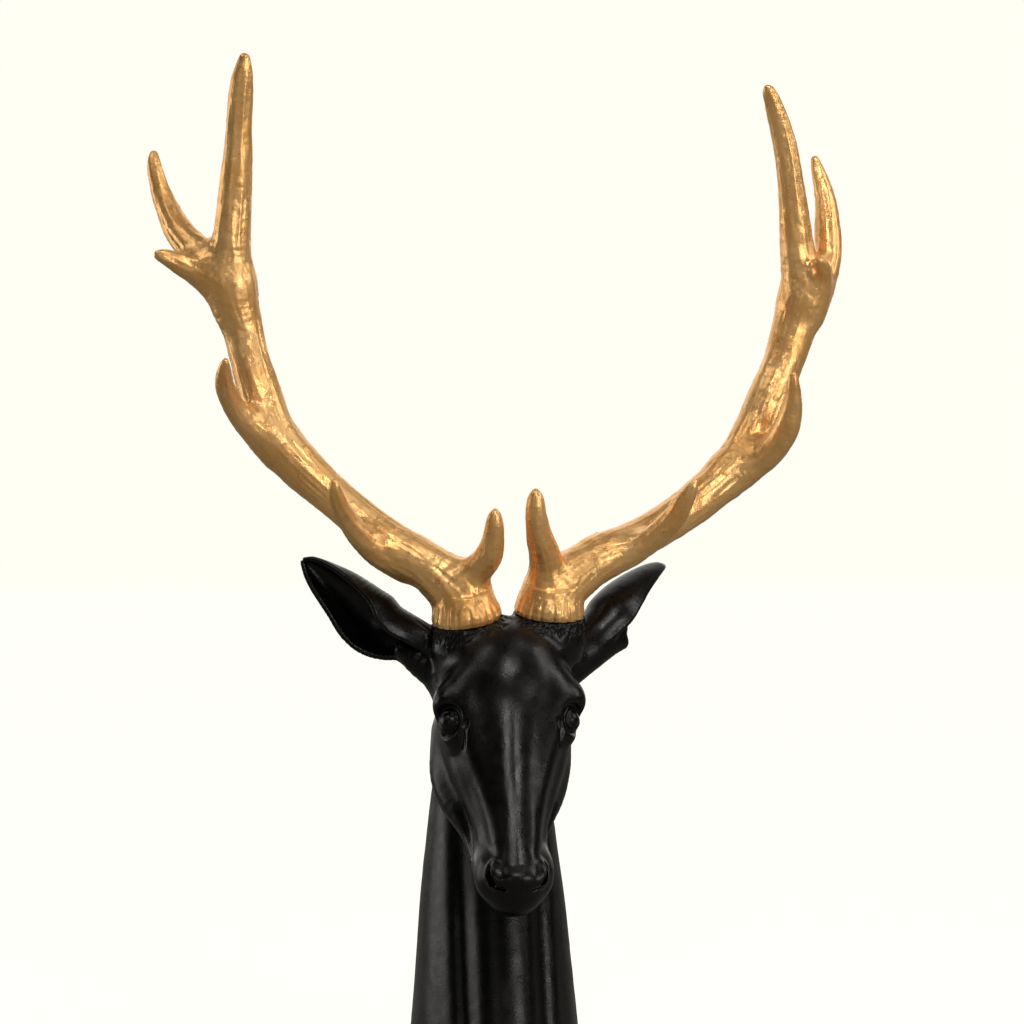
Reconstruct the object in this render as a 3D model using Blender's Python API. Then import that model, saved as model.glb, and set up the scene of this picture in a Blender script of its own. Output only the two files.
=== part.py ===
"""Stag bust: a black cast head and neck with two separate gold antlers.

Metres, +Z up, the figure faces -Y, its own left side is +X.
The bust stands on the flat underside of the neck at the origin.
"""
import math

import bmesh
import bpy
from mathutils import Matrix, Vector

# The height of the whole bust; the tables of its form below are in 355ths of it
BUST_HEIGHT = 0.355
UNIT = BUST_HEIGHT / 355

# Sizes that drive the neck
THROAT_GROOVE_OFFSET = 0.0125
THROAT_GROOVE_WIDTH = 0.004
THROAT_GROOVE_DEPTH = 0.0026

# Sizes and turns that drive the head
FACE_LENGTH = 0.082
HEAD_HALF_WIDTH = 0.0223
EYEBALL_RADIUS = 0.0046
LID_RADIUS = 0.0011
MOUTH_LINE_RADIUS = 0.00075
HEAD_PITCH = math.radians(58)
HEAD_TURN = math.radians(-5)
HEAD_TWIST = math.radians(5.5)

# Sizes that drive the ears
EAR_RADIUS = 0.0105
EAR_WALL = 0.0024

# Sizes and leans that drive the antler seats
BURR_RADIUS = 0.0116
SEAT_GAP = 0.0003
SEAT_FORWARD_LEAN = math.radians(13)
RIGHT_SEAT_LEAN = math.radians(8.5)
LEFT_SEAT_LEAN = math.radians(-3.0)

# How finely the castings are modelled
HEAD_GRAIN = 0.00105
ANTLER_GRAIN = 0.00085
BLEND_LOSS = 0.00035
HEAD_SHARE_KEPT = 0.029
ANTLER_SHARE_KEPT = 0.027

# Places of the head and of the antler seats: x, y, z
HEAD_CENTRE = (2.2, -12, 153)
RIGHT_SEAT = (-10.1, -10, 172)
LEFT_SEAT = (16.9, -10, 173.7)

# Eye on the head: along the face, sideways, out of it
EYE = (22.5, 18.0, 7.5)

# Beam and tine centre lines: x, y, z, radius
RIGHT_BEAM = [
    (-10.3, -10, 170, 9.4), (-12.2, -10, 180, 9.7), (-23.7, -7, 190, 7.5), (-36, -2, 198, 7.2),
    (-51.5, 4, 211.2, 6.6), (-64, 9, 223, 7.3), (-72.2, 12, 234, 7.3), (-77, 15, 249, 7.0),
    (-80, 16, 259, 6.5), (-82, 17, 267.5, 6.8), (-85, 16, 277.5, 8.0), (-86.5, 15, 287, 7.8),
    (-85.7, 12, 297, 6.4), (-84.7, 10, 310, 5.6), (-84, 8, 320, 5.1), (-83.5, 5.5, 332, 4.3),
    (-83, 3, 342, 4.0), (-82.4, 0.5, 349, 3.3), (-81.8, -1.4, 354.2, 1.8),
]
RIGHT_BROW = [
    (-12, -7, 180, 8.0), (-8.8, -13, 186.5, 5.5), (-4.6, -20, 192.5, 4.5), (-3.4, -25, 199.7, 3.3),
    (-3.4, -27.3, 204.8, 2.4), (-3.3, -28, 206.9, 1.2),
]
RIGHT_BEZ = [
    (-30, -3, 191, 6.6), (-40, -7, 195.3, 4.9), (-47.6, -13, 202.2, 3.4), (-51.6, -18, 208.3, 2.8),
    (-53.8, -22, 213.8, 2.1), (-54.2, -23.5, 216.4, 1.1),
]
RIGHT_THIRD = [
    (-71, 12, 229, 6.2), (-78, 8, 233.8, 4.8), (-84.8, 2, 241, 3.7), (-88.2, -4, 247.6, 3.0),
    (-88.6, -9, 252.4, 2.3), (-88.2, -11.4, 255, 1.2),
]
RIGHT_FORK = [
    (-86, 15, 283, 7.4), (-94, 17.5, 290.5, 5.9), (-102.3, 23.5, 300, 4.8), (-107, 28, 309.6, 3.8),
    (-109.5, 30, 316.5, 3.2), (-111.1, 31.5, 323.5, 2.6), (-111.3, 32, 327.3, 1.4),
]
RIGHT_STUB = [
    (-91, 16, 285, 6.6), (-97.8, 14.5, 287.3, 5.0), (-103.5, 13, 289.3, 3.5), (-108, 11, 291, 2.4),
    (-109.8, 10.2, 291.5, 1.3),
]
LEFT_BEAM = [
    (16.9, -10, 171.5, 9.4), (18.5, -10, 181, 9.8), (35, -4.5, 192, 7.2), (49, 0, 198.3, 6.7),
    (61, 4, 204.7, 6.7), (72, 8, 212, 6.9), (83.5, 11, 222, 7.1), (92, 14, 235.5, 7.2),
    (97, 15, 246.5, 7.2), (102, 16, 258, 6.8), (106, 17, 269.5, 7.5), (108.6, 17, 276, 8.0),
    (109.5, 16, 284, 7.8), (106.5, 13.5, 296, 6.0), (104.8, 11, 306.5, 5.2), (103.2, 9, 316, 4.6),
    (101.3, 7, 326, 4.1), (98.8, 5, 335, 3.7), (95.5, 2, 343, 2.9), (93.2, -0.4, 347.4, 2.2),
    (92.3, -1.5, 348.9, 1.2),
]
LEFT_BROW = [
    (18, -8, 181, 7.2), (15.9, -13, 187.5, 5.9), (14.2, -18, 193.5, 5.0), (11.8, -22.5, 199.3, 4.2),
    (10.2, -25.8, 205.6, 3.4), (9.8, -27.8, 211, 2.5), (9.7, -28.4, 213.2, 1.3),
]
LEFT_BEZ = [
    (34, -3, 192, 6.2), (47, -8, 195.3, 4.4), (56.5, -15.8, 204.2, 3.7), (59.5, -20, 210.4, 3.1),
    (61.4, -23, 214.6, 2.0), (62.3, -23.9, 216.6, 1.1),
]
LEFT_THIRD = [
    (82, 12, 220, 6.4), (90.3, 7, 224, 5.4), (95.4, 2, 229, 4.9), (98.3, -3, 235.4, 4.3),
    (99.3, -7, 242.6, 3.3), (98.7, -10.7, 249.5, 2.1), (98.4, -11.7, 252.2, 1.2),
]
LEFT_FORK = [
    (109, 16.5, 279, 7.6), (115.5, 17, 286, 5.2), (118.6, 18.5, 294, 4.5), (119.2, 21, 303, 4.6),
    (119.3, 23.2, 312.5, 3.9), (118.6, 24.8, 319, 3.2), (117, 26, 326, 2.3), (116, 26, 329.4, 1.3),
]
LEFT_STUB = [
    (110, 14, 282, 6.0), (113, 10, 286, 4.2), (113.2, 6, 289.3, 3.0), (111.6, 3, 291.2, 2.0),
    (110.9, 2, 291.6, 1.2),
]

# Fleshy roots of the ears and the lobe of the turned one: x, y, z, radius
RIGHT_EAR_ROOT = [(-10, -1, 151, 8.0), (-18, -1, 155, 7.0), (-25, -0.5, 159, 5.4), (-30, 0, 161.5, 3.0)]
LEFT_EAR_ROOT = [(18, 1, 154, 8.0), (26, 3, 159, 7.2), (33, 6, 163.5, 6.6), (37, 8, 166, 5.0)]
LEFT_EAR_LOBE = [(26, 1, 154, 5.0), (33, 3, 159, 4.6), (39, 5.5, 162, 3.6), (44.5, 8, 162.6, 2.3)]

# Neck sections: height, half width, front y, back y, sideways shift
NECK_SECTIONS = [
    (-8, 31.6, -47, 47, 0.6), (18, 29.2, -40, 45, 0.7), (38, 27.5, -34, 43, 0.8),
    (60, 25.6, -27, 40.5, 0.8), (80, 23.9, -20.5, 38.5, 0.7), (96, 22.0, -15, 36.5, 0.6),
    (112, 20.2, -9, 34, 0.8), (126, 19.0, -4, 30.5, 1.4), (140, 18.2, -1, 26, 2.0),
    (152, 17.2, 0, 20, 2.4), (162, 13.0, -2, 12, 2.5),
]

# Head sections: along the face, half width, rise above the axis, depth below it
HEAD_SECTIONS = [
    (-19, 7, 6, -7), (-15, 14, 13, -14), (-5, 20, 19.5, -20), (8, 22.3, 21.5, -24),
    (20, 22.2, 20.3, -26), (32, 19.6, 18, -23.5), (44, 15.8, 14.6, -18.5), (56, 12.9, 12, -13.5),
    (66, 11.8, 10.6, -11), (73, 11.2, 9.6, -10), (79, 8.6, 6.5, -8), (82, 4.5, 3.0, -4.5),
]


def head_frame():
    """Matrix of the head: X sideways, -Y along the face, Z out of the forehead, in table units."""
    pitch = Matrix.Rotation(HEAD_PITCH, 4, "X")
    turn = Matrix.Rotation(HEAD_TURN, 4, "Z")
    twist = Matrix.Rotation(HEAD_TWIST, 4, "Y")
    wide = HEAD_HALF_WIDTH / max(section[1] for section in HEAD_SECTIONS)
    long = FACE_LENGTH / HEAD_SECTIONS[-1][0]
    grow = Matrix.Diagonal((wide, long, UNIT, 1))
    return Matrix.Translation(Vector(HEAD_CENTRE) * UNIT) @ turn @ pitch @ twist @ grow


HEAD = head_frame()


def on_head(side, along, out):
    """World point from table units sideways, along the face and out of it."""
    return HEAD @ Vector((side, -along, out))


def new_object(name, mesh):
    item = bpy.data.objects.new(name, mesh)
    bpy.context.collection.objects.link(item)
    return item


def loft(rings):
    """Closed skin over a run of rings that all have the same number of points."""
    skin = bmesh.new()
    loops = []
    for ring in rings:
        verts = [skin.verts.new(point) for point in ring]
        edges = [skin.edges.new((verts[i], verts[i - 1])) for i in range(len(verts))]
        loops.append((verts, edges))
    for first, second in zip(loops, loops[1:]):
        bmesh.ops.bridge_loops(skin, edges=first[1] + second[1])
    skin.faces.new(loops[0][0])
    skin.faces.new(loops[-1][0])
    bmesh.ops.recalc_face_normals(skin, faces=skin.faces)
    mesh = bpy.data.meshes.new("loft")
    skin.to_mesh(mesh)
    skin.free()
    return mesh


def lump(side, along, out, sizes, roll=0.0):
    """Ellipsoid mass on the head, half sizes in table units."""
    skin = bmesh.new()
    shape = Matrix.Diagonal((sizes[0], sizes[1], sizes[2], 1))
    place = HEAD @ Matrix.Translation((side, -along, out)) @ Matrix.Rotation(roll, 4, "Z")
    bmesh.ops.create_uvsphere(skin, u_segments=24, v_segments=14, radius=1.0, matrix=place @ shape)
    mesh = bpy.data.meshes.new("lump")
    skin.to_mesh(mesh)
    skin.free()
    return mesh


def spline(points, steps):
    """Smooth run through control points, each a tuple of numbers."""
    run = []
    last = len(points) - 1
    for i in range(last):
        before = points[max(i - 1, 0)]
        start = points[i]
        end = points[i + 1]
        after = points[min(i + 2, last)]
        for k in range(steps):
            t = k / steps
            value = []
            for a, b, c, d in zip(before, start, end, after):
                value.append(
                    0.5 * (2 * b + (c - a) * t + (2 * a - 5 * b + 4 * c - d) * t * t
                           + (3 * b - a - 3 * c + d) * t ** 3))
            run.append(tuple(value))
    run.append(tuple(points[-1]))
    return run


def tine(points, sides=14, steps=3, extra=0.0):
    """Round tapering branch along control points in table units."""
    run = spline(points, steps)
    centres = [Vector(p[:3]) * UNIT for p in run]
    rings = []
    normal = Vector((0, -1, 0))
    for i, centre in enumerate(centres):
        ahead = centres[min(i + 1, len(centres) - 1)]
        behind = centres[max(i - 1, 0)]
        direction = (ahead - behind).normalized()
        normal = (normal - direction * normal.dot(direction)).normalized()
        across = direction.cross(normal)
        radius = run[i][3] * UNIT + extra
        ring = []
        for k in range(sides):
            angle = 2 * math.pi * k / sides
            ring.append(centre + (normal * math.cos(angle) + across * math.sin(angle)) * radius)
        rings.append(ring)
    return loft(rings)


def neck_ring(height, half_width, front, back, shift, sides=40):
    """Level section of the neck with a throat ridge between two grooves at the front."""
    middle = 0.5 * (front + back)
    reach = 0.5 * (back - front)
    fade = min(1.0, max(0.0, (130 - height) / 60))
    ring = []
    for k in range(sides):
        angle = 2 * math.pi * k / sides
        forward = math.cos(angle)
        x = half_width * math.sin(angle) * (1 - 0.16 * max(forward, 0.0) ** 2)
        place = Vector((x + shift, middle - reach * forward, height)) * UNIT
        if forward > 0:
            off = (abs(x) * UNIT - THROAT_GROOVE_OFFSET) / THROAT_GROOVE_WIDTH
            place.y += math.exp(-off * off) * THROAT_GROOVE_DEPTH * fade * forward
        ring.append(place)
    return ring


def neck():
    return loft([neck_ring(*section) for section in spline(NECK_SECTIONS, 3)])


def head_ring(along, half_width, rise, depth, sides=32):
    """Section across the head, narrower toward the bridge of the nose."""
    ring = []
    for k in range(sides):
        angle = 2 * math.pi * k / sides
        up = math.sin(angle)
        side = half_width * math.cos(angle) * (1 - 0.14 * max(up, 0.0))
        out = rise * up if up > 0 else -depth * up
        ring.append(on_head(side, along, out))
    return ring


def skull():
    return loft([head_ring(*section) for section in spline(HEAD_SECTIONS, 2)])


def strut(first, second, radius_first, radius_second):
    """Tapered round mass between two head points."""
    start = on_head(*first) / UNIT
    end = on_head(*second) / UNIT
    step = (end - start).normalized()
    points = [
        tuple(start - step * radius_first * 0.7) + (radius_first * 0.6,),
        tuple(start) + (radius_first,),
        tuple(end) + (radius_second,),
        tuple(end + step * radius_second * 0.7) + (radius_second * 0.6,),
    ]
    return tine(points, sides=14, steps=2)


def eyelid(side, rise):
    """Fold of skin over (rise 1) or under (rise -1) one eyeball."""
    radius = EYEBALL_RADIUS / UNIT
    along, lateral, out = EYE
    run = []
    for share in (-1.15, -0.7, 0.0, 0.7, 1.15):
        arch = max(0.0, 1 - (share / 1.2) ** 2)
        place = on_head(
            side * (lateral + radius * (0.62 - 0.28 * share)), along + radius * share * 1.1,
            out + radius * (0.25 + rise * 0.72 * arch))
        run.append(tuple(place / UNIT) + (LID_RADIUS / UNIT * (0.6 + 0.4 * arch),))
    return tine(run, sides=10, steps=3)


def mouth_line():
    """Cutter for the groove between the lips."""
    run = []
    for side, along, out in ((-10.5, 60, -6.5), (-10.8, 67, -5.5), (-9.6, 73, -4.6), (-5.5, 78.5, -4.0),
                             (0, 80.6, -3.6), (5.5, 78.5, -4.0), (9.6, 73, -4.6), (10.8, 67, -5.5),
                             (10.5, 60, -6.5)):
        run.append(tuple(on_head(side, along, out) / UNIT) + (MOUTH_LINE_RADIUS / UNIT,))
    return tine(run, sides=8, steps=2)


def face_masses():
    """Brows, eyes, cheeks, jaw, muzzle, lips, chin and nose of the casting."""
    eye = (EYEBALL_RADIUS / UNIT,) * 3
    masses = []
    for side in (-1, 1):
        masses.append(lump(side * 18.3, 13.5, 11.5, (6.2, 8.6, 5.5), side * 0.25))
        masses.append(lump(side * EYE[1], EYE[0], EYE[2], eye))
        masses.append(strut((side * 18.6, 26, -1), (side * 13.0, 52, -1), 4.0, 2.6))
        masses.append(lump(side * 14.4, 17, -11, (8.8, 17, 13)))
        masses.append(strut((side * 9.5, 22, -19), (side * 5.2, 64, -7.5), 5.5, 4.5))
        masses.append(lump(side * 6.6, 70, -2.5, (5.7, 9, 7)))
        masses.append(lump(side * 6.6, 73.2, 5.0, (3.8, 5.5, 3.8)))
        masses.append(lump(side * 14.5, -4, -8, (9, 13, 12)))
    masses.append(lump(0, 70, 0, (12.2, 11, 10.6)))
    masses.append(lump(0, 76, 4, (8.5, 5.4, 6)))
    masses.append(lump(0, 70, -8, (7, 8.4, 5)))
    masses.append(lump(0, 2, 4, (20.5, 19, 18)))
    masses += [eyelid(side, rise) for side in (-1, 1) for rise in (1, -1)]
    masses.append(tine(RIGHT_EAR_ROOT))
    masses.append(tine(LEFT_EAR_ROOT))
    masses.append(tine(LEFT_EAR_LOBE))
    return masses


def seat_frame(seat, lean):
    """Frame of an antler seat, Z out of the skull along the start of the beam."""
    forward = Matrix.Rotation(SEAT_FORWARD_LEAN, 4, "X")
    outward = Matrix.Rotation(-lean, 4, "Y")
    return Matrix.Translation(Vector(seat) * UNIT) @ outward @ forward


def pedicle(seat, lean):
    """Short boss on the skull that carries one antler."""
    frame = seat_frame(seat, lean)
    rings = []
    for depth, spread in ((14, 1.04), (8, 1.14), (4, 1.07), (1.2, 0.98), (-1.0, 0.93)):
        ring = []
        for k in range(28):
            angle = 2 * math.pi * k / 28
            reach = BURR_RADIUS * spread
            local = (reach * math.cos(angle), reach * math.sin(angle), -depth * UNIT)
            ring.append(frame @ Vector(local))
        rings.append(ring)
    return loft(rings)


def burr(seat, lean):
    """Rough coronet at the foot of the antler, flared toward the seat."""
    frame = seat_frame(seat, lean)
    rings = []
    for height, spread in ((-3, 0.92), (0, 0.96), (1.6, 1.0), (3.6, 0.96), (6.0, 0.84), (9.0, 0.72)):
        ring = []
        for k in range(48):
            angle = 2 * math.pi * k / 48
            flute = 0.02 * math.cos(angle * 16) if height < 5 else 0.0
            reach = BURR_RADIUS * (spread + flute)
            local = (reach * math.cos(angle), reach * math.sin(angle), height * UNIT)
            ring.append(frame @ Vector(local))
        rings.append(ring)
    return loft(rings)


def ear(spine, opening, reach, spans):
    """Cupped leaf of an ear: a crescent section carried along a spine."""
    run = spline([point + (size, span) for point, size, span in zip(spine, reach, spans)], 3)
    centres = [Vector(p[:3]) * UNIT for p in run]
    rings = []
    count = 9
    for i, centre in enumerate(centres):
        ahead = centres[min(i + 1, len(centres) - 1)]
        behind = centres[max(i - 1, 0)]
        direction = (ahead - behind).normalized()
        back = -(opening - direction * opening.dot(direction)).normalized()
        across = direction.cross(back)
        radius = run[i][3] * EAR_RADIUS
        half_span = math.radians(run[i][4])
        inner = max(radius - EAR_WALL, radius * 0.3)
        ring = []
        for k in range(count):
            angle = half_span * (2 * k / (count - 1) - 1)
            ring.append(centre + (back * math.cos(angle) + across * math.sin(angle)) * radius)
        for k in reversed(range(count)):
            angle = half_span * 0.96 * (2 * k / (count - 1) - 1)
            ring.append(centre + (back * math.cos(angle) + across * math.sin(angle)) * inner)
        rings.append(ring)
    return loft(rings)


def right_ear():
    spine = [(-14, -1.5, 159), (-22, -0.5, 162.6), (-29.5, 0.5, 165.8), (-36, 1.4, 168),
             (-41.3, 2.8, 171.5), (-48.5, 5, 178.6), (-55, 7.5, 184.5), (-59.8, 9.5, 189),
             (-62, 10.4, 190.8)]
    reach = (0.61, 0.66, 0.78, 0.98, 1.05, 0.86, 0.63, 0.37, 0.15)
    spans = (128, 125, 118, 108, 100, 92, 88, 84, 84)
    return ear(spine, Vector((0.0, -0.92, -0.38)), reach, spans)


def left_ear():
    spine = [(24, 1.5, 161), (33.5, 4, 165), (40, 8, 167.3), (42, 11, 170.4), (45, 14.5, 174),
             (49, 18.5, 177.7), (54.3, 23, 181.7), (60.8, 29, 186.4), (63, 30.8, 188)]
    reach = (0.61, 0.68, 0.92, 0.98, 0.92, 0.80, 0.64, 0.36, 0.15)
    spans = (128, 124, 120, 116, 112, 108, 104, 98, 94)
    return ear(spine, Vector((0.62, -0.25, -0.74)), reach, spans)


def joined(name, meshes):
    """One object made of several closed skins."""
    skin = bmesh.new()
    for mesh in meshes:
        skin.from_mesh(mesh)
        bpy.data.meshes.remove(mesh)
    whole = bpy.data.meshes.new(name)
    skin.to_mesh(whole)
    skin.free()
    return new_object(name, whole)


def fuse(item, grain, detail, rounds):
    """Turn overlapping skins into one even cast surface."""
    remesh = item.modifiers.new("one_casting", "REMESH")
    remesh.mode = "VOXEL"
    remesh.voxel_size = grain
    remesh.use_smooth_shade = True
    smooth = item.modifiers.new("soft_blends", "SMOOTH")
    smooth.factor = 0.5
    smooth.iterations = rounds
    thin = item.modifiers.new("light_mesh", "DECIMATE")
    thin.ratio = detail


def settle(item):
    """Apply the modifiers so that later cuts work on the finished skin."""
    graph = bpy.context.evaluated_depsgraph_get()
    mesh = bpy.data.meshes.new_from_object(item.evaluated_get(graph))
    item.modifiers.clear()
    old = item.data
    item.data = mesh
    bpy.data.meshes.remove(old)


def combine(item, tool, operation):
    """Exact Boolean with a tool that is used up."""
    change = item.modifiers.new(operation.lower(), "BOOLEAN")
    change.operation = operation
    change.solver = "EXACT"
    change.object = tool
    settle(item)
    bpy.data.objects.remove(tool)


def box(low, high, frame):
    """Block between two corners of a frame."""
    skin = bmesh.new()
    size = high - low
    place = frame @ Matrix.Translation((low + high) / 2) @ Matrix.Diagonal(size.to_4d())
    bmesh.ops.create_cube(skin, size=1.0, matrix=place)
    mesh = bpy.data.meshes.new("block")
    skin.to_mesh(mesh)
    skin.free()
    return new_object("block", mesh)


def drum(radius, low, high, frame):
    """Round tool standing on a frame."""
    skin = bmesh.new()
    place = frame @ Matrix.Translation((0, 0, (low + high) / 2))
    bmesh.ops.create_cone(
        skin, cap_ends=True, segments=48, radius1=radius, radius2=radius, depth=high - low,
        matrix=place)
    mesh = bpy.data.meshes.new("drum")
    skin.to_mesh(mesh)
    skin.free()
    return new_object("drum", mesh)


def finish(item, material):
    """Weld stray points, keep triangles and shade round."""
    skin = bmesh.new()
    skin.from_mesh(item.data)
    bmesh.ops.remove_doubles(skin, verts=skin.verts, dist=0.00005)
    bmesh.ops.triangulate(skin, faces=skin.faces)
    bmesh.ops.recalc_face_normals(skin, faces=skin.faces)
    for face in skin.faces:
        face.smooth = True
    skin.to_mesh(item.data)
    skin.free()
    item.data.materials.clear()
    item.data.materials.append(material)


def paint(name, colour, roughness, metallic):
    material = bpy.data.materials.new(name)
    material.use_nodes = True
    shader = material.node_tree.nodes["Principled BSDF"]
    shader.inputs["Base Color"].default_value = colour
    shader.inputs["Roughness"].default_value = roughness
    shader.inputs["Metallic"].default_value = metallic
    return material


def head_and_neck(material):
    """Head, ears and neck in one casting, cut flat below, with two flat antler seats."""
    seats = [seat_frame(RIGHT_SEAT, RIGHT_SEAT_LEAN), seat_frame(LEFT_SEAT, LEFT_SEAT_LEAN)]
    meshes = [neck(), skull()] + face_masses()
    meshes += [pedicle(RIGHT_SEAT, RIGHT_SEAT_LEAN), pedicle(LEFT_SEAT, LEFT_SEAT_LEAN)]
    item = joined("head_and_neck", meshes)
    fuse(item, HEAD_GRAIN, HEAD_SHARE_KEPT, 4)
    settle(item)
    for mesh in (right_ear(), left_ear()):
        combine(item, new_object("ear", mesh), "UNION")
    for side in (-1, 1):
        hole = lump(side * 5.9, 77.8, 4.2, (1.9, 3.2, 1.7), side * 0.5)
        combine(item, new_object("nostril", hole), "DIFFERENCE")
    combine(item, new_object("mouth", mouth_line()), "DIFFERENCE")
    for seat in seats:
        tool = drum(BURR_RADIUS + 2 * SEAT_GAP, -SEAT_GAP, BURR_RADIUS, seat)
        combine(item, tool, "DIFFERENCE")
    reach = BUST_HEIGHT / 2
    low = Vector((-reach, -reach, -reach))
    high = Vector((reach, reach, 0.0))
    combine(item, box(low, high, Matrix.Identity(4)), "DIFFERENCE")
    finish(item, material)
    return item


def antler(name, branches, seat, lean, material):
    """One antler with its burr, cut flat where it meets the skull."""
    meshes = [tine(branch, extra=BLEND_LOSS) for branch in branches]
    meshes.append(burr(seat, lean))
    item = joined(name, meshes)
    fuse(item, ANTLER_GRAIN, ANTLER_SHARE_KEPT, 3)
    settle(item)
    frame = seat_frame(seat, lean)
    reach = 2 * BURR_RADIUS
    low = Vector((-reach, -reach, -reach))
    high = Vector((reach, reach, 0.0))
    combine(item, box(low, high, frame), "DIFFERENCE")
    finish(item, material)
    return item


def build():
    for item in list(bpy.data.objects):
        bpy.data.objects.remove(item)
    black = paint("satin_black_paint", (0.012, 0.012, 0.013, 1), 0.42, 0.0)
    gold = paint("bright_gold_paint", (0.80, 0.52, 0.18, 1), 0.28, 1.0)
    head_and_neck(black)
    right = [RIGHT_BEAM, RIGHT_BROW, RIGHT_BEZ, RIGHT_THIRD, RIGHT_FORK, RIGHT_STUB]
    left = [LEFT_BEAM, LEFT_BROW, LEFT_BEZ, LEFT_THIRD, LEFT_FORK, LEFT_STUB]
    antler("antler_right", right, RIGHT_SEAT, RIGHT_SEAT_LEAN, gold)
    antler("antler_left", left, LEFT_SEAT, LEFT_SEAT_LEAN, gold)


build()
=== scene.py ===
"""Stag bust: a satin black head and neck with two gold antlers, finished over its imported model.

Metres, +Z up, the face looks along -Y and the animal's own left side is +X.
The shapes are worked as clay fields in millimetres and skinned at the end.
"""
import math

import bmesh
import bpy
import numpy as np
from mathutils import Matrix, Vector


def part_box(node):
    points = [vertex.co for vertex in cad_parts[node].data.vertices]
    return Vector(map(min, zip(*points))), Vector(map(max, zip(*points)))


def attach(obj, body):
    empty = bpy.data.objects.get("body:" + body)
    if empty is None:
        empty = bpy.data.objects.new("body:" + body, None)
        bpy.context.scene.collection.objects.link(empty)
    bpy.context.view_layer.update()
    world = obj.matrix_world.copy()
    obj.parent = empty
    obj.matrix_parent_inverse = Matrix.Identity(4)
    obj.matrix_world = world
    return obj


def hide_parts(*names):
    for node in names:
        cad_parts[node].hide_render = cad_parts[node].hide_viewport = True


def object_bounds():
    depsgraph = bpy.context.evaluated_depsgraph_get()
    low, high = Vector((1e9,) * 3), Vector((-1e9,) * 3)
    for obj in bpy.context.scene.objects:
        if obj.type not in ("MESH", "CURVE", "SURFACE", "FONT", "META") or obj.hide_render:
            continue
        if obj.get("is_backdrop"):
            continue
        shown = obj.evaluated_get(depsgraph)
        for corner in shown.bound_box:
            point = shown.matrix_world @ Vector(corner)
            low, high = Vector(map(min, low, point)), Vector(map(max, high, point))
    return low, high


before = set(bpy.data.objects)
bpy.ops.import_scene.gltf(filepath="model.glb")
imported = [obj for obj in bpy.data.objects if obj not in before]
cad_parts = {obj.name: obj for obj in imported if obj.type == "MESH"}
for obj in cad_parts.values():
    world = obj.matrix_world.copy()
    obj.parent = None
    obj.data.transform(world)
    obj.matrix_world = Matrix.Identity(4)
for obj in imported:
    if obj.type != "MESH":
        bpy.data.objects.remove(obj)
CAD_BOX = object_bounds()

bl_info = {
    "name": "Stag Bust",
    "version": (1, 0, 0),
    "blender": (4, 5, 0),
    "location": "3D View > Sidebar > Stag Bust",
    "description": "Models a black stag bust with gold antlers, its paint and its studio",
    "category": "Object",
}

MM = 0.001

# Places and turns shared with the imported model, in millimetres and degrees
HEAD_CENTRE = (2.2, -12.0, 153.0)
HEAD_PITCH = 58.0
HEAD_TURN = -5.0
HEAD_TWIST = 5.5

# The cast face is a little uneven: its muzzle bends over, its jaw hangs to one side, its left eye sits high
MUZZLE_BEND = 0.030
JAW_SHIFT = 0.10
EYE_LINE_SLOPE = 0.065

# Antler seats on the skull: place, outward lean
SEATS = {"antler_right": ((-10.1, -10.0, 172.0), 8.5), "antler_left": ((16.9, -10.0, 173.7), -3.0)}
SEAT_FORWARD_LEAN = 13.0
SEAT_GAP = 0.3

# Neck sections: height, half width, front y, back y, sideways shift
NECK_SECTIONS = [
    (-8, 31.6, -47, 47, 0.6), (18, 29.2, -40, 45, 0.7), (38, 27.5, -34, 43, 0.8),
    (60, 25.6, -27, 40.5, 0.8), (80, 23.9, -20.5, 38.5, 0.7), (96, 22.0, -15, 36.5, 0.6),
    (112, 20.2, -9, 34, 0.8), (126, 19.0, -4, 30.5, 1.4), (140, 18.2, -1, 26, 2.0),
    (152, 17.2, 0, 20, 2.4), (162, 13.0, -2, 12, 2.5),
]

# Head sections: along the face, half width, rise out of it, depth below it
HEAD_SECTIONS = [
    (-19, 7, 6, 7), (-15, 14, 13, 14), (-5, 20, 19.0, 20), (8, 22.0, 19.2, 24),
    (20, 21.4, 16.6, 26), (32, 18.6, 14.6, 23.5), (44, 14.4, 12.8, 18.5), (56, 10.8, 11.4, 13.5),
    (66, 10.2, 10.2, 11), (73, 9.6, 9.0, 10), (79, 6.6, 6.4, 7.5), (82, 3.6, 3.0, 4.2),
]

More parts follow.
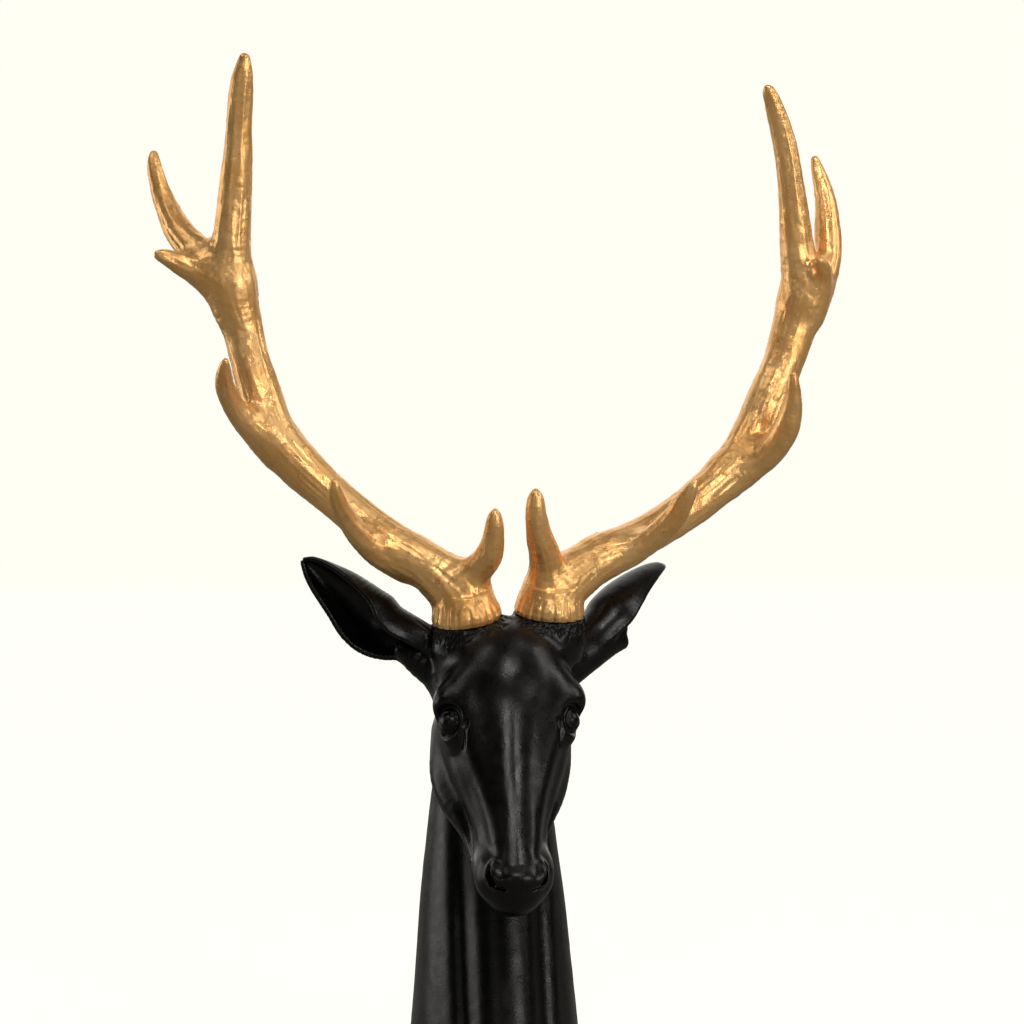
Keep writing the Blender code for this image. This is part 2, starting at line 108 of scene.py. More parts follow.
# Antler centre lines: x, y, z, radius
ANTLERS = {
    "antler_right": {
        "beam": [
            (-10.3, -10, 170, 9.4), (-12.2, -10, 180, 9.7), (-23.7, -7, 190, 7.5), (-36, -2, 198, 7.2),
            (-51.5, 4, 211.2, 6.6), (-64, 9, 223, 7.3), (-72.2, 12, 234, 7.3), (-77, 15, 249, 7.0),
            (-80, 16, 259, 6.5), (-82, 17, 267.5, 6.8), (-85, 16, 277.5, 8.0), (-86.5, 15, 287, 7.8),
            (-85.7, 12, 297, 6.4), (-84.7, 10, 310, 5.6), (-84, 8, 320, 5.1), (-83.5, 5.5, 332, 4.3),
            (-83, 3, 342, 4.0), (-82.4, 0.5, 349, 3.3), (-81.8, -1.4, 354.2, 1.8),
        ],
        "brow": [
            (-12, -7, 180, 8.0), (-8.8, -13, 186.5, 5.5), (-4.6, -20, 192.5, 4.5),
            (-3.4, -25, 199.7, 3.3), (-3.4, -27.3, 204.8, 2.4), (-3.3, -28, 206.9, 1.2),
        ],
        "bez": [
            (-30, -3, 191, 6.6), (-40, -7, 195.3, 4.9), (-47.6, -13, 202.2, 3.4),
            (-51.6, -18, 208.3, 2.8), (-53.8, -22, 213.8, 2.1), (-54.2, -23.5, 216.4, 1.1),
        ],
        "third": [
            (-71, 12, 229, 6.2), (-78, 8, 233.8, 4.8), (-84.8, 2, 241, 3.7), (-88.2, -4, 247.6, 3.0),
            (-88.6, -9, 252.4, 2.3), (-88.2, -11.4, 255, 1.2),
        ],
        "fork": [
            (-86, 15, 283, 7.4), (-94, 17.5, 290.5, 5.9), (-102.3, 23.5, 300, 4.8),
            (-107, 28, 309.6, 3.8), (-109.5, 30, 316.5, 3.2), (-111.1, 31.5, 323.5, 2.6),
            (-111.3, 32, 327.3, 1.4),
        ],
        "stub": [
            (-91, 16, 285, 6.6), (-97.8, 14.5, 287.3, 5.0), (-103.5, 13, 289.3, 3.5),
            (-108, 11, 291, 2.4), (-109.8, 10.2, 291.5, 1.3),
        ],
    },
    "antler_left": {
        "beam": [
            (16.9, -10, 171.5, 9.4), (18.5, -10, 181, 9.8), (35, -4.5, 192, 7.2), (49, 0, 198.3, 6.7),
            (61, 4, 204.7, 6.7), (72, 8, 212, 6.9), (83.5, 11, 222, 7.1), (92, 14, 235.5, 7.2),
            (97, 15, 246.5, 7.2), (102, 16, 258, 6.8), (106, 17, 269.5, 7.5), (108.6, 17, 276, 8.0),
            (109.5, 16, 284, 7.8), (106.5, 13.5, 296, 6.0), (104.8, 11, 306.5, 5.2),
            (103.2, 9, 316, 4.6), (101.3, 7, 326, 4.1), (98.8, 5, 335, 3.7), (95.5, 2, 343, 2.9),
            (93.2, -0.4, 347.4, 2.2), (92.3, -1.5, 348.9, 1.2),
        ],
        "brow": [
            (18, -8, 181, 7.2), (15.9, -13, 187.5, 5.9), (14.2, -18, 193.5, 5.0),
            (11.8, -22.5, 199.3, 4.2), (10.2, -25.8, 205.6, 3.4), (9.8, -27.8, 211, 2.5),
            (9.7, -28.4, 213.2, 1.3),
        ],
        "bez": [
            (34, -3, 192, 6.2), (47, -8, 195.3, 4.4), (56.5, -15.8, 204.2, 3.7),
            (59.5, -20, 210.4, 3.1), (61.4, -23, 214.6, 2.0), (62.3, -23.9, 216.6, 1.1),
        ],
        "third": [
            (82, 12, 220, 6.4), (90.3, 7, 224, 5.4), (95.4, 2, 229, 4.9), (98.3, -3, 235.4, 4.3),
            (99.3, -7, 242.6, 3.3), (98.7, -10.7, 249.5, 2.1), (98.4, -11.7, 252.2, 1.2),
        ],
        "fork": [
            (109, 16.5, 279, 7.6), (115.5, 17, 286, 5.2), (118.6, 18.5, 294, 4.5),
            (119.2, 21, 303, 4.6), (119.3, 23.2, 312.5, 3.9), (118.6, 24.8, 319, 3.2),
            (117, 26, 326, 2.3), (116, 26, 329.4, 1.3),
        ],
        "stub": [
            (110, 14, 282, 6.0), (113, 10, 286, 4.2), (113.2, 6, 289.3, 3.0), (111.6, 3, 291.2, 2.0),
            (110.9, 2, 291.6, 1.2),
        ],
    },
}

# Ear spines: x, y, z, radius, reach of the sheet above and below the spine in degrees
RIGHT_EAR = [
    (-14, -1.5, 159, 6.4, 165, 120), (-22, -0.5, 162.6, 6.9, 168, 110), (-29.5, 0.5, 165.8, 8.2, 160, 100),
    (-36, 1.4, 168, 10.3, 150, 94), (-41.3, 2.8, 171.5, 11.0, 138, 90), (-48.5, 5, 178.6, 9.0, 122, 88),
    (-55, 7.5, 184.5, 6.6, 106, 86), (-59.8, 9.5, 189, 3.9, 92, 84), (-62, 10.4, 190.8, 1.6, 84, 84),
]
LEFT_EAR = [
    (25, 3.0, 159.5, 6.4, 128, 128), (32, 6.3, 163.2, 7.2, 124, 124), (38, 9.3, 166.8, 9.0, 120, 120),
    (42.2, 12, 170.4, 10.2, 116, 116), (45.8, 15, 174.1, 9.7, 112, 112), (50, 18.9, 178, 8.4, 108, 108),
    (55, 23.4, 182.1, 6.5, 104, 104), (60.8, 28.9, 186.4, 3.8, 98, 98), (63, 30.8, 188, 1.6, 94, 94),
]

# Cupped ears: spine, the way the cup opens, corners of the box that the ear is worked in
EARS = (
    (RIGHT_EAR, (0.0, -0.92, -0.38), (-75, -25, 140), (-4, 30, 205)),
    (LEFT_EAR, (0.62, -0.25, -0.74), (14, -16, 140), (78, 46, 205)),
)

# Roots of both ears, and the lobe and flap at the foot of the left one: x, y, z, radius
EAR_ROOTS = (
    [(-10, -1, 151, 8.0), (-18, -1, 155, 7.0), (-25, -0.5, 159, 5.4), (-30, 0, 161.5, 3.0)],
    [(18, 1, 154, 8.0), (26, 3, 159, 7.2), (33, 6, 163.5, 6.6), (37, 8, 166, 5.0)],
    [(26, 1, 154.5, 5.0), (33, 3.4, 159.4, 4.8), (39, 6, 162.4, 4.0), (44.2, 8.4, 163.2, 2.6)],
    [(33, 4, 161, 4.5), (39.5, 7.6, 165.2, 4.4), (43.5, 9.6, 168.2, 3.2)],
)


class BustHead(bpy.types.PropertyGroup):
    """Sizes of the head and neck casting."""
    skin_step: bpy.props.FloatProperty(
        name="Skin step", description="Spacing of the points that skin the head",
        default=0.0005, min=0.0004, max=0.003, subtype="DISTANCE", unit="LENGTH")
    faces: bpy.props.IntProperty(
        name="Faces", description="Triangles kept on the head and neck",
        default=188000, min=20000, max=195000)
    eyeball_radius: bpy.props.FloatProperty(
        name="Eyeball radius", description="Radius of each eyeball",
        default=0.0035, min=0.003, max=0.006, subtype="DISTANCE", unit="LENGTH")
    ear_wall: bpy.props.FloatProperty(
        name="Ear wall", description="Thickness of the cupped ears",
        default=0.0019, min=0.001, max=0.003, subtype="DISTANCE", unit="LENGTH")
    fur_depth: bpy.props.FloatProperty(
        name="Fur depth", description="Depth of the tufts of fur carved under the antlers",
        default=0.0005, min=0.0, max=0.001, subtype="DISTANCE", unit="LENGTH")


class BustAntlers(bpy.types.PropertyGroup):
    """Sizes of the two antler castings."""
    skin_step: bpy.props.FloatProperty(
        name="Skin step", description="Spacing of the points that skin an antler",
        default=0.00045, min=0.0004, max=0.003, subtype="DISTANCE", unit="LENGTH")
    faces: bpy.props.IntProperty(
        name="Faces", description="Triangles kept on each antler",
        default=150000, min=20000, max=195000)
    burr_radius: bpy.props.FloatProperty(
        name="Burr radius", description="Radius of the fluted coronet at the foot of an antler",
        default=0.0116, min=0.009, max=0.014, subtype="DISTANCE", unit="LENGTH")
    burr_flutes: bpy.props.IntProperty(
        name="Burr flutes", description="Grooves round the coronet", default=21, min=8, max=48)
    ridge_depth: bpy.props.FloatProperty(
        name="Ridge depth", description="Depth of the long ridges on the beams and tines",
        default=0.00026, min=0.0, max=0.001, subtype="DISTANCE", unit="LENGTH")


class BustPaint(bpy.types.PropertyGroup):
    """Colours and sheen of the two paints."""
    black: bpy.props.FloatVectorProperty(
        name="Black", description="Colour of the head and neck", default=(0.0026, 0.0020, 0.0019),
        size=3, min=0.0, max=1.0, subtype="COLOR")
    black_roughness: bpy.props.FloatProperty(
        name="Black roughness", description="How matt the black paint is",
        default=0.30, min=0.0, max=1.0, subtype="FACTOR")
    gold: bpy.props.FloatVectorProperty(
        name="Gold", description="Colour of the antlers", default=(1.0, 0.585, 0.225),
        size=3, min=0.0, max=1.0, subtype="COLOR")
    gold_roughness: bpy.props.FloatProperty(
        name="Gold roughness", description="How soft the gold paint reflects",
        default=0.30, min=0.0, max=1.0, subtype="FACTOR")


class BustStudio(bpy.types.PropertyGroup):
    """Camera, floor and light round the bust."""
    backdrop: bpy.props.FloatVectorProperty(
        name="Backdrop", description="Colour of the floor and wall", default=(1.0, 0.998, 0.905),
        size=3, min=0.0, max=1.0, subtype="COLOR")
    lamp_power: bpy.props.FloatProperty(
        name="Lamp power", description="Power that every soft lamp gives a share of",
        default=4.5, min=0.0, unit="POWER")
    wall_light: bpy.props.FloatProperty(
        name="Wall light", description="Brightness of the wall behind the bust",
        default=1.2, min=0.0, max=4.0)
    floor_glow: bpy.props.FloatProperty(
        name="Floor glow", description="Light that the floor throws on the bust",
        default=0.075, min=0.0, max=1.0)
    lens: bpy.props.FloatProperty(
        name="Lens", description="Focal length of the camera in millimetres",
        default=84.16, min=20.0, max=200.0)


# Clay tools: every field is negative inside the clay and measures millimetres


def soft_join(first, second, reach):
    """Join two fields with a fillet of about that reach."""
    overlap = np.maximum(reach - np.abs(first - second), 0.0)
    return np.minimum(first, second) - overlap * overlap * (0.25 / reach)


def soft_cut(clay, tool, reach):
    """Take a field out of the clay with an eased edge."""
    return -soft_join(-clay, tool, reach)


def smooth_run(points, steps):
    """Smooth run of rows through rows of control numbers."""
    rows = np.asarray(points, np.float64)
    padded = np.vstack((rows[:1], rows, rows[-1:]))
    run = []
    for i in range(len(rows) - 1):
        before, start, end, after = padded[i:i + 4]
        for k in range(steps):
            t = k / steps
            bend = 2 * before - 5 * start + 4 * end - after
            twist = 3 * start - before - 3 * end + after
            run.append(0.5 * (2 * start + (end - before) * t + bend * t ** 2 + twist * t ** 3))
    run.append(rows[-1])
    return np.array(run)


def unit(vector):
    """Vector of the same direction and length one."""
    vector = np.asarray(vector, np.float64)
    return vector / np.linalg.norm(vector)


def carried_frames(run):
    """Side vector at each point of a run, carried along it without twist."""
    steps = np.gradient(run[:, :3], axis=0)
    steps /= np.linalg.norm(steps, axis=1)[:, None]
    side = unit(np.cross(steps[0], (0.3, 0.8, 0.52)))
    sides = []
    for direction in steps:
        side = unit(side - direction * np.dot(side, direction))
        sides.append(side)
    return steps, np.array(sides)


def rope(points, run):
    """Distance to a round branch whose rows are x, y, z, radius."""
    nearest = np.full(points.shape[1], 1e6, np.float32)
    for start, end in zip(run[:-1].astype(np.float32), run[1:].astype(np.float32)):
        step = end[:3] - start[:3]
        length = float(step @ step)
        dx = points[0] - start[0]
        dy = points[1] - start[1]
        dz = points[2] - start[2]
        t = np.clip((dx * step[0] + dy * step[1] + dz * step[2]) / length, 0.0, 1.0)
        dx -= t * step[0]
        dy -= t * step[1]
        dz -= t * step[2]
        reach = np.sqrt(dx * dx + dy * dy + dz * dz) - (start[3] + t * (end[3] - start[3]))
        np.minimum(nearest, reach, out=nearest)
    return nearest


def nearest_on(points, run, thick):
    """Distance to a run, less its radius if it is thick, and a reader of what the run carries there."""
    nearest = np.full(points.shape[1], 1e6, np.float32)
    index = np.zeros(points.shape[1], np.int32)
    share = np.zeros(points.shape[1], np.float32)
    for i in range(len(run) - 1):
        start = run[i].astype(np.float32)
        step = (run[i + 1, :3] - run[i, :3]).astype(np.float32)
        rel = points - start[:3, None]
        t = np.clip(step @ rel / float(step @ step), 0.0, 1.0)
        reach = np.linalg.norm(rel - step[:, None] * t, axis=0)
        if thick:
            reach = reach - (start[3] + t * (run[i + 1, 3] - start[3]))
        closer = reach < nearest
        nearest[closer] = reach[closer]
        index[closer] = i
        share[closer] = t[closer]

    def carried(values):
        low = values[index]
        high = values[index + 1]
        weight = share if values.ndim == 1 else share[:, None]
        return (low + (high - low) * weight).T

    return nearest, carried


def place_on_rope(points, run):
    """Distance, travelled length, angle round it and radius of the nearest place on a branch."""
    directions, sides = carried_frames(run)
    lengths = np.concatenate(((0.0,), np.cumsum(np.linalg.norm(np.diff(run[:, :3], axis=0), axis=1))))
    nearest, carried = nearest_on(points, run, True)
    side = carried(sides)
    rel = points - carried(run[:, :3])
    other = np.cross(carried(directions).T, side.T).T
    angle = np.arctan2((rel * other).sum(0), (rel * side).sum(0))
    return nearest, carried(lengths), angle, carried(run[:, 3])


def egg(side, along, out, centre, sizes, roll=0.0):
    """Distance to an ellipsoid on the head."""
    x = side - centre[0]
    y = along - centre[1]
    z = out - centre[2]
    if roll:
        turn, lift = math.cos(roll), math.sin(roll)
        x, y = x * turn - y * lift, x * lift + y * turn
    near = np.sqrt((x / sizes[0]) ** 2 + (y / sizes[1]) ** 2 + (z / sizes[2]) ** 2)
    steep = np.sqrt((x / sizes[0] ** 2) ** 2 + (y / sizes[1] ** 2) ** 2 + (z / sizes[2] ** 2) ** 2)
    return near * (near - 1.0) / np.maximum(steep, 1e-6)


def in_box(points, low, high):
    """Whether points lie inside a box."""
    return np.all([(row > a) & (row < b) for row, a, b in zip(points, low, high)], axis=0)


def near_only(points, low, high, field):
    """A field worked out only inside a box, and far away outside it."""
    inside = in_box(points, low, high)
    value = np.full(points.shape[1], 30.0, np.float32)
    value[inside] = field(points[:, inside])
    return value


def turned(axis, degrees):
    """Matrix of a turn about one axis."""
    angle = math.radians(degrees)
    c, s = math.cos(angle), math.sin(angle)
    rows = {
        "x": ((1, 0, 0), (0, c, -s), (0, s, c)),
        "y": ((c, 0, s), (0, 1, 0), (-s, 0, c)),
        "z": ((c, -s, 0), (s, c, 0), (0, 0, 1)),
    }
    return np.array(rows[axis])


# Columns are sideways, back along the face and out of the forehead
HEAD_AXES = turned("z", HEAD_TURN) @ turned("x", HEAD_PITCH) @ turned("y", HEAD_TWIST)


def on_head(points):
    """Sideways, along the face and out of it, for points in the bust's frame."""
    rel = points - np.array(HEAD_CENTRE, np.float32)[:, None]
    local = HEAD_AXES.T.astype(np.float32) @ rel
    return local[0], -local[1], local[2]


def on_face(points):
    """Place on the even face, with the casting's bend, jaw shift and eye line taken out."""
    side, along, out = on_head(points)
    along = along + EYE_LINE_SLOPE * side
    side = side - MUZZLE_BEND * np.maximum(along - 34, 0.0) - JAW_SHIFT * np.minimum(out + 4, 0.0)
    return side, along, out


def seat_axes(name):
    """Place and turn of an antler seat; its third axis leaves the skull."""
    place, lean = SEATS[name]
    return np.array(place), turned("y", -lean) @ turned("x", SEAT_FORWARD_LEAN)


def on_seat(points, name):
    """Points measured from an antler seat, with z out of the skull."""
    place, axes = seat_axes(name)
    return axes.T.astype(np.float32) @ (points - place.astype(np.float32)[:, None])


def speckle(cells, seed):
    """Even random number for every whole cell."""
    mixed = (cells[0] * 73856093) ^ (cells[1] * 19349663) ^ (cells[2] * 83492791)
    mixed = mixed ^ (seed * 2654435761 % 4294967291)
    mixed = (mixed ^ (mixed >> 13)) * 1274126177
    mixed = (mixed ^ (mixed >> 16)) & 0xFFFFF
    return mixed.astype(np.float32) / 0xFFFFF


def cloud(place, seed):
    """Smooth random field from -1 to 1 with cells of size one."""
    floor = np.floor(place)
    cell = floor.astype(np.int64)
    part = (place - floor).astype(np.float32)
    ease = part * part * (3 - 2 * part)
    total = 0.0
    for dx in (0, 1):
        for dy in (0, 1):
            for dz in (0, 1):
                weight = ((ease[0] if dx else 1 - ease[0]) * (ease[1] if dy else 1 - ease[1])
                          * (ease[2] if dz else 1 - ease[2]))
                total = total + weight * speckle((cell[0] + dx, cell[1] + dy, cell[2] + dz), seed)
    return total * 2 - 1


# Skinning


def slope_of(clay, points, gap=0.06):
    """Value and slope of a field at points."""
    value = clay(points)
    slope = np.empty_like(points)
    for axis in range(3):
        moved = points.copy()
        moved[axis] += gap
        slope[axis] = (clay(moved) - value) / gap
    return value, slope


def settle(clay, points, step, rounds):
    """Move points onto the skin of a field."""
    for _ in range(rounds):
        value, slope = slope_of(clay, points)
        size = np.maximum((slope * slope).sum(0), 0.05)
        move = np.clip(value / size, -step, step)
        points = points - slope * move
    return points


def sample(clay, low, high, step):
    """Field on an even lattice, worked out finely only near the skin."""
    levels = 3
    size = step * 2 ** levels
    low = np.asarray(low, np.float64)
    count = np.ceil((np.asarray(high) - low) / size).astype(int) + 1
    cells = np.indices(count).reshape(3, -1)
    grid = None
    for level in range(levels + 1):
        centres = (low[:, None] + cells * size).astype(np.float32)
        values = np.empty(cells.shape[1], np.float32)
        for start in range(0, cells.shape[1], 400000):
            values[start:start + 400000] = clay(centres[:, start:start + 400000])
        if grid is None:
            grid = values.reshape(count)
        else:
            grid[tuple(cells)] = values
        if level == levels:
            return grid, low, size
        near = np.abs(values) < size * 1.25 + step * 1.8
        parents = cells[:, near]
        corners = np.indices((2, 2, 2)).reshape(3, -1)
        cells = (parents[:, :, None] * 2 + corners[:, None, :]).reshape(3, -1)
        for axis in range(3):
            grid = np.repeat(grid, 2, axis=axis)
        low = low - size * 0.25
        size *= 0.5


def skin(grid, low, size):
    """Points and quads of the surface between the inside and the outside of a lattice."""
    inside = grid < 0
    counts = np.zeros(tuple(n - 1 for n in grid.shape), np.int8)
    corners = [(a, b, c) for a in (0, 1) for b in (0, 1) for c in (0, 1)]
    for a, b, c in corners:
        counts += inside[a:a + counts.shape[0], b:b + counts.shape[1], c:c + counts.shape[2]]
    ids = np.flatnonzero((counts > 0) & (counts < 8))
    cell = np.array(np.unravel_index(ids, counts.shape))
    values = {(a, b, c): grid[cell[0] + a, cell[1] + b, cell[2] + c] for a, b, c in corners}
    total = np.zeros((3, len(ids)), np.float64)
    hits = np.zeros(len(ids))
    for first in corners:
        for axis in range(3):
            if first[axis]:
                continue
            second = tuple(1 if i == axis else v for i, v in enumerate(first))
            a, b = values[first], values[second]
            cross = (a < 0) != (b < 0)
            t = np.where(cross, a / np.where(cross, a - b, 1.0), 0.0)
            hits += cross
            for i in range(3):
                total[i] += cross * (first[i] + (t if i == axis else 0.0))
    points = low[:, None] + (cell + total / hits) * size
    quads = []
    strides = (counts.shape[1] * counts.shape[2], counts.shape[2], 1)
    for axis in range(3):
        u, v = [i for i in range(3) if i != axis]
        a = [slice(1, n - 1) for n in grid.shape]
        b = [slice(1, n - 1) for n in grid.shape]
        b[axis] = slice(2, grid.shape[axis])
        here, there = inside[tuple(a)], inside[tuple(b)]
        where = np.array(np.nonzero(here != there)) + 1
        leaving = here[tuple(where - 1)]
        base = where[0] * strides[0] + where[1] * strides[1] + where[2]
        around = [base - strides[u] - strides[v], base - strides[v], base, base - strides[u]]
        quad = np.searchsorted(ids, np.array(around))
        flip = leaving if axis != 1 else ~leaving
        quad = np.where(flip, quad, quad[::-1])
        quads.append(quad.T)
    return points.astype(np.float32), np.vstack(quads)


def ease_points(points, quads, share=0.5):
    """Draw every point toward the middle of its neighbours."""
    edges = np.vstack([quads[:, (i, (i + 1) % 4)] for i in range(4)])
    total = np.zeros_like(points)
    count = np.bincount(edges[:, 0], minlength=points.shape[1])
    count = count + np.bincount(edges[:, 1], minlength=points.shape[1])
    for axis in range(3):
        total[axis] = np.bincount(edges[:, 0], points[axis][edges[:, 1]], points.shape[1])
        total[axis] += np.bincount(edges[:, 1], points[axis][edges[:, 0]], points.shape[1])
    return points + (total / count - points) * share


def skinned(clay, low, high, step):
    """Even points and quads on the skin of a field."""
    points, quads = skin(*sample(clay, low, high, step))
    for _ in range(3):
        points = ease_points(points, quads).astype(np.float32)
        points = settle(clay, points, step, 1).astype(np.float32)
    return settle(clay, points, step, 1).astype(np.float32), quads


def new_mesh(name, points, quads):
    """Mesh in metres from points in millimetres."""
    mesh = bpy.data.meshes.new(name)
    mesh.vertices.add(points.shape[1])
    mesh.vertices.foreach_set("co", (points.T * MM).astype(np.float32).ravel())
    mesh.loops.add(quads.size)
    mesh.loops.foreach_set("vertex_index", quads.ravel().astype(np.int32))
    mesh.polygons.add(len(quads))
    mesh.polygons.foreach_set("loop_start", np.arange(0, quads.size, quads.shape[1], dtype=np.int32))
    mesh.update(calc_edges=True)
    mesh.validate()
    return mesh


def points_of(mesh):
    """Points of a mesh in millimetres."""
    flat = np.empty(len(mesh.vertices) * 3, np.float32)
    mesh.vertices.foreach_get("co", flat)
    return (flat.reshape(-1, 3).T / MM).astype(np.float32)


def refine(mesh, wanted):
    """Split the faces whose middles a test picks, so that they carry finer carving."""
    work = bmesh.new()
    work.from_mesh(mesh)
    work.edges.ensure_lookup_table()
    middles = np.array([(e.verts[0].co + e.verts[1].co) * (0.5 / MM) for e in work.edges], np.float32).T
    picked = np.flatnonzero(wanted(middles))
    bmesh.ops.subdivide_edges(work, edges=[work.edges[i] for i in picked], cuts=1, use_grid_fill=True)
    work.to_mesh(mesh)
    work.free()


def put_points(mesh, points):
    """Move a mesh's points to places in millimetres."""
    mesh.vertices.foreach_set("co", (points.T * MM).astype(np.float32).ravel())
    mesh.update()


def carve(mesh, clay, step, relief, flat):
    """Settle a mesh on its field and raise the relief on it, apart from where it stays flat."""
    points = settle(clay, points_of(mesh), step * 0.5, 2).astype(np.float32)
    _, slope = slope_of(clay, points)
    normal = slope / np.maximum(np.linalg.norm(slope, axis=0), 1e-3)
    put_points(mesh, points + normal * np.where(flat(points), 0.0, relief(points)))


def finish_piece(name, mesh, faces, material):
    """Thin a mesh to its face count, shade it round and put it in the frame."""
    piece = bpy.data.objects.new(name, mesh)
    bpy.context.scene.collection.objects.link(piece)
    triangles = sum(len(p.vertices) - 2 for p in mesh.polygons)
    if triangles > faces:
        thin = piece.modifiers.new("thin", "DECIMATE")
        thin.ratio = faces / triangles
        graph = bpy.context.evaluated_depsgraph_get()
        light = bpy.data.meshes.new_from_object(piece.evaluated_get(graph))
        piece.modifiers.clear()
        piece.data = light
        bpy.data.meshes.remove(mesh)
    mesh = piece.data
    mesh.name = name
    mesh.polygons.foreach_set("use_smooth", np.ones(len(mesh.polygons), bool))
    mesh.materials.clear()
    mesh.materials.append(material)
    mesh.update()
    return piece


# Head and neck


def table_of(sections, steps=12):
    """Places and rows of a smooth run through sections."""
    run = smooth_run(sections, steps).astype(np.float32)
    return run[:, 0], run[:, 1:]


NECK_TABLE = table_of(NECK_SECTIONS)
NECK_TOP = 163

# Grooves down the throat and the nape: distance from the middle, width, depth
THROAT_GROOVES = ((12.5, 3.2, 3.0), (20.0, 3.0, 0.7))
NAPE_GROOVE = (8.0, 4.5, 0.9)


def furrow(away, groove):
    """Depth of a rounded groove at a distance from the middle."""
    middle, width, depth = groove
    return np.exp(-((away - middle) / width) ** 2) * depth


def neck_clay(points):
    """Long neck with a throat ridge between its grooves, cut flat below."""
    x, y, z = points
    heights, rows = NECK_TABLE
    half, front, back, shift = (np.interp(z, heights, rows[:, i]).astype(np.float32) for i in range(4))
    middle = 0.5 * (front + back)
    reach = 0.5 * (back - front)
    across = (x - shift) / half
    forward = (middle - y) / reach
    ahead = np.maximum(forward, 0.0) / np.maximum(np.hypot(across, forward), 1e-4)
    across = across / (1 - 0.16 * ahead ** 2)
    round_ = np.hypot(across, forward)
    radial = np.hypot(x - shift, y - middle)
    clay = radial * (1 - 1 / np.maximum(round_, 0.02))
    fade = np.clip((130 - z) / 60, 0, 1) * ahead
    away = np.abs(x - shift)
    clay = clay + sum(furrow(away, groove) for groove in THROAT_GROOVES) * fade
    nape = np.maximum(-forward, 0.0) / np.maximum(round_, 1e-4)
    clay = clay + furrow(away, NAPE_GROOVE) * nape * np.clip((150 - z) / 60, 0, 1)
    clay = np.maximum(clay, z - NECK_TOP)
    return soft_cut(clay, z, 1.2)


HEAD_TABLE = table_of(HEAD_SECTIONS)

# How square the front of the face is, along it: 2 is round, less is sharper along the crests
CREST_PLACES = (4, 20, 34, 46, 60, 70, 78)
CREST_POWERS = (2.1, 2.25, 1.75, 1.5, 1.5, 1.8, 2.0)


def skull_clay(side, along, out):
    """Long tapering form of the skull and muzzle."""
    places, rows = HEAD_TABLE
    half, rise, depth = (np.interp(along, places, rows[:, i]).astype(np.float32) for i in range(3))
    tall = out / np.where(out > 0, rise, depth)
    wide = side / half
    top = np.maximum(tall, 0.0) / np.maximum(np.hypot(wide, tall), 1e-4)
    wide = np.maximum(wide / (1 - 0.14 * top), 1e-4)
    power = np.where(tall > 0, np.interp(along, CREST_PLACES, CREST_POWERS).astype(np.float32), 2.0)
    round_ = (wide ** power + np.maximum(np.abs(tall), 1e-4) ** power) ** (1 / power)
    clay = np.hypot(side, out) * (1 - 1 / np.maximum(round_, 0.02))
    return -soft_join(-clay, -np.maximum(HEAD_SECTIONS[0][0] - along, along - HEAD_SECTIONS[-1][0]), 4.0)


# Centre of an eyeball on the head, and the hollow round it: distance out along the line of sight, radius
EYE_PLACE = np.array((18.9, 19.3, 7.0))
SOCKET = (2.3, 4.9)

# Half opening of an eye in degrees, by the turn round its line of sight from the inner corner over the brow
LID_TURNS = (-180, -150, -120, -90, -60, -35, -15, 0, 15, 35, 60, 90, 120, 150, 180)
LID_OPENING = (60, 56, 53, 52, 54, 57, 59, 60, 59, 56, 52, 49, 50, 54, 60)

# Each lid: degrees outside its edge, and the height over the eyeball there
UPPER_LID = ((-6, 0, 4, 8, 12, 17, 22, 27, 34, 52), (-1.0, 0.25, 0.55, 0.5, 0.15, 0.8, 1.3, 1.2, 1.0, 1.0))
LOWER_LID = ((-6, 0, 4, 8, 13, 18, 24, 31, 50), (-1.0, 0.25, 0.5, 0.45, 0.2, 0.55, 0.7, 0.4, 0.2))


def eye_axes():
    """Directions of an eye on the head: where it looks, toward its inner corner, toward the brow."""
    look = unit((0.68, 0.08, 0.73))
    corner = np.array((-0.72, 0.65, 0.24))
    corner = unit(corner - look * (corner @ look))
    return look, corner, np.cross(look, corner)


def eye_clay(clay, side, along, out, radius):
    """Set the eyes into the head, each with a brow bulge, a socket, lids and folds."""
    look, corner, over = (way.astype(np.float32) for way in eye_axes())
    rel = np.array((side, along, out)) - EYE_PLACE.astype(np.float32)[:, None]
    far = np.linalg.norm(rel, axis=0)
    rise = over @ rel
    turn = np.degrees(np.arctan2(rise, corner @ rel))
    away = np.degrees(np.arccos(np.clip((look @ rel) / np.maximum(far, 1e-3), -1, 1)))
    outside = away - np.interp(turn, LID_TURNS, LID_OPENING)
    share = np.clip(rise / np.maximum(np.hypot(rise, corner @ rel), 1e-3) * 1.5 + 0.45, 0, 1)
    share = share * share * (3 - 2 * share)
    height = share * np.interp(outside, *UPPER_LID) + (1 - share) * np.interp(outside, *LOWER_LID)
    lids = (far - (radius + height)) * 0.85 + np.maximum(outside - 30, 0) * 0.12
    bowl = np.linalg.norm(rel - look[:, None] * SOCKET[0], axis=0) - SOCKET[1]
    clay = mass_on(clay, side, along, out, "brow_bulge")
    clay = soft_cut(clay, bowl, 2.6)
    clay = soft_join(clay, lids.astype(np.float32), 1.3)
    return np.minimum(clay, far - radius)


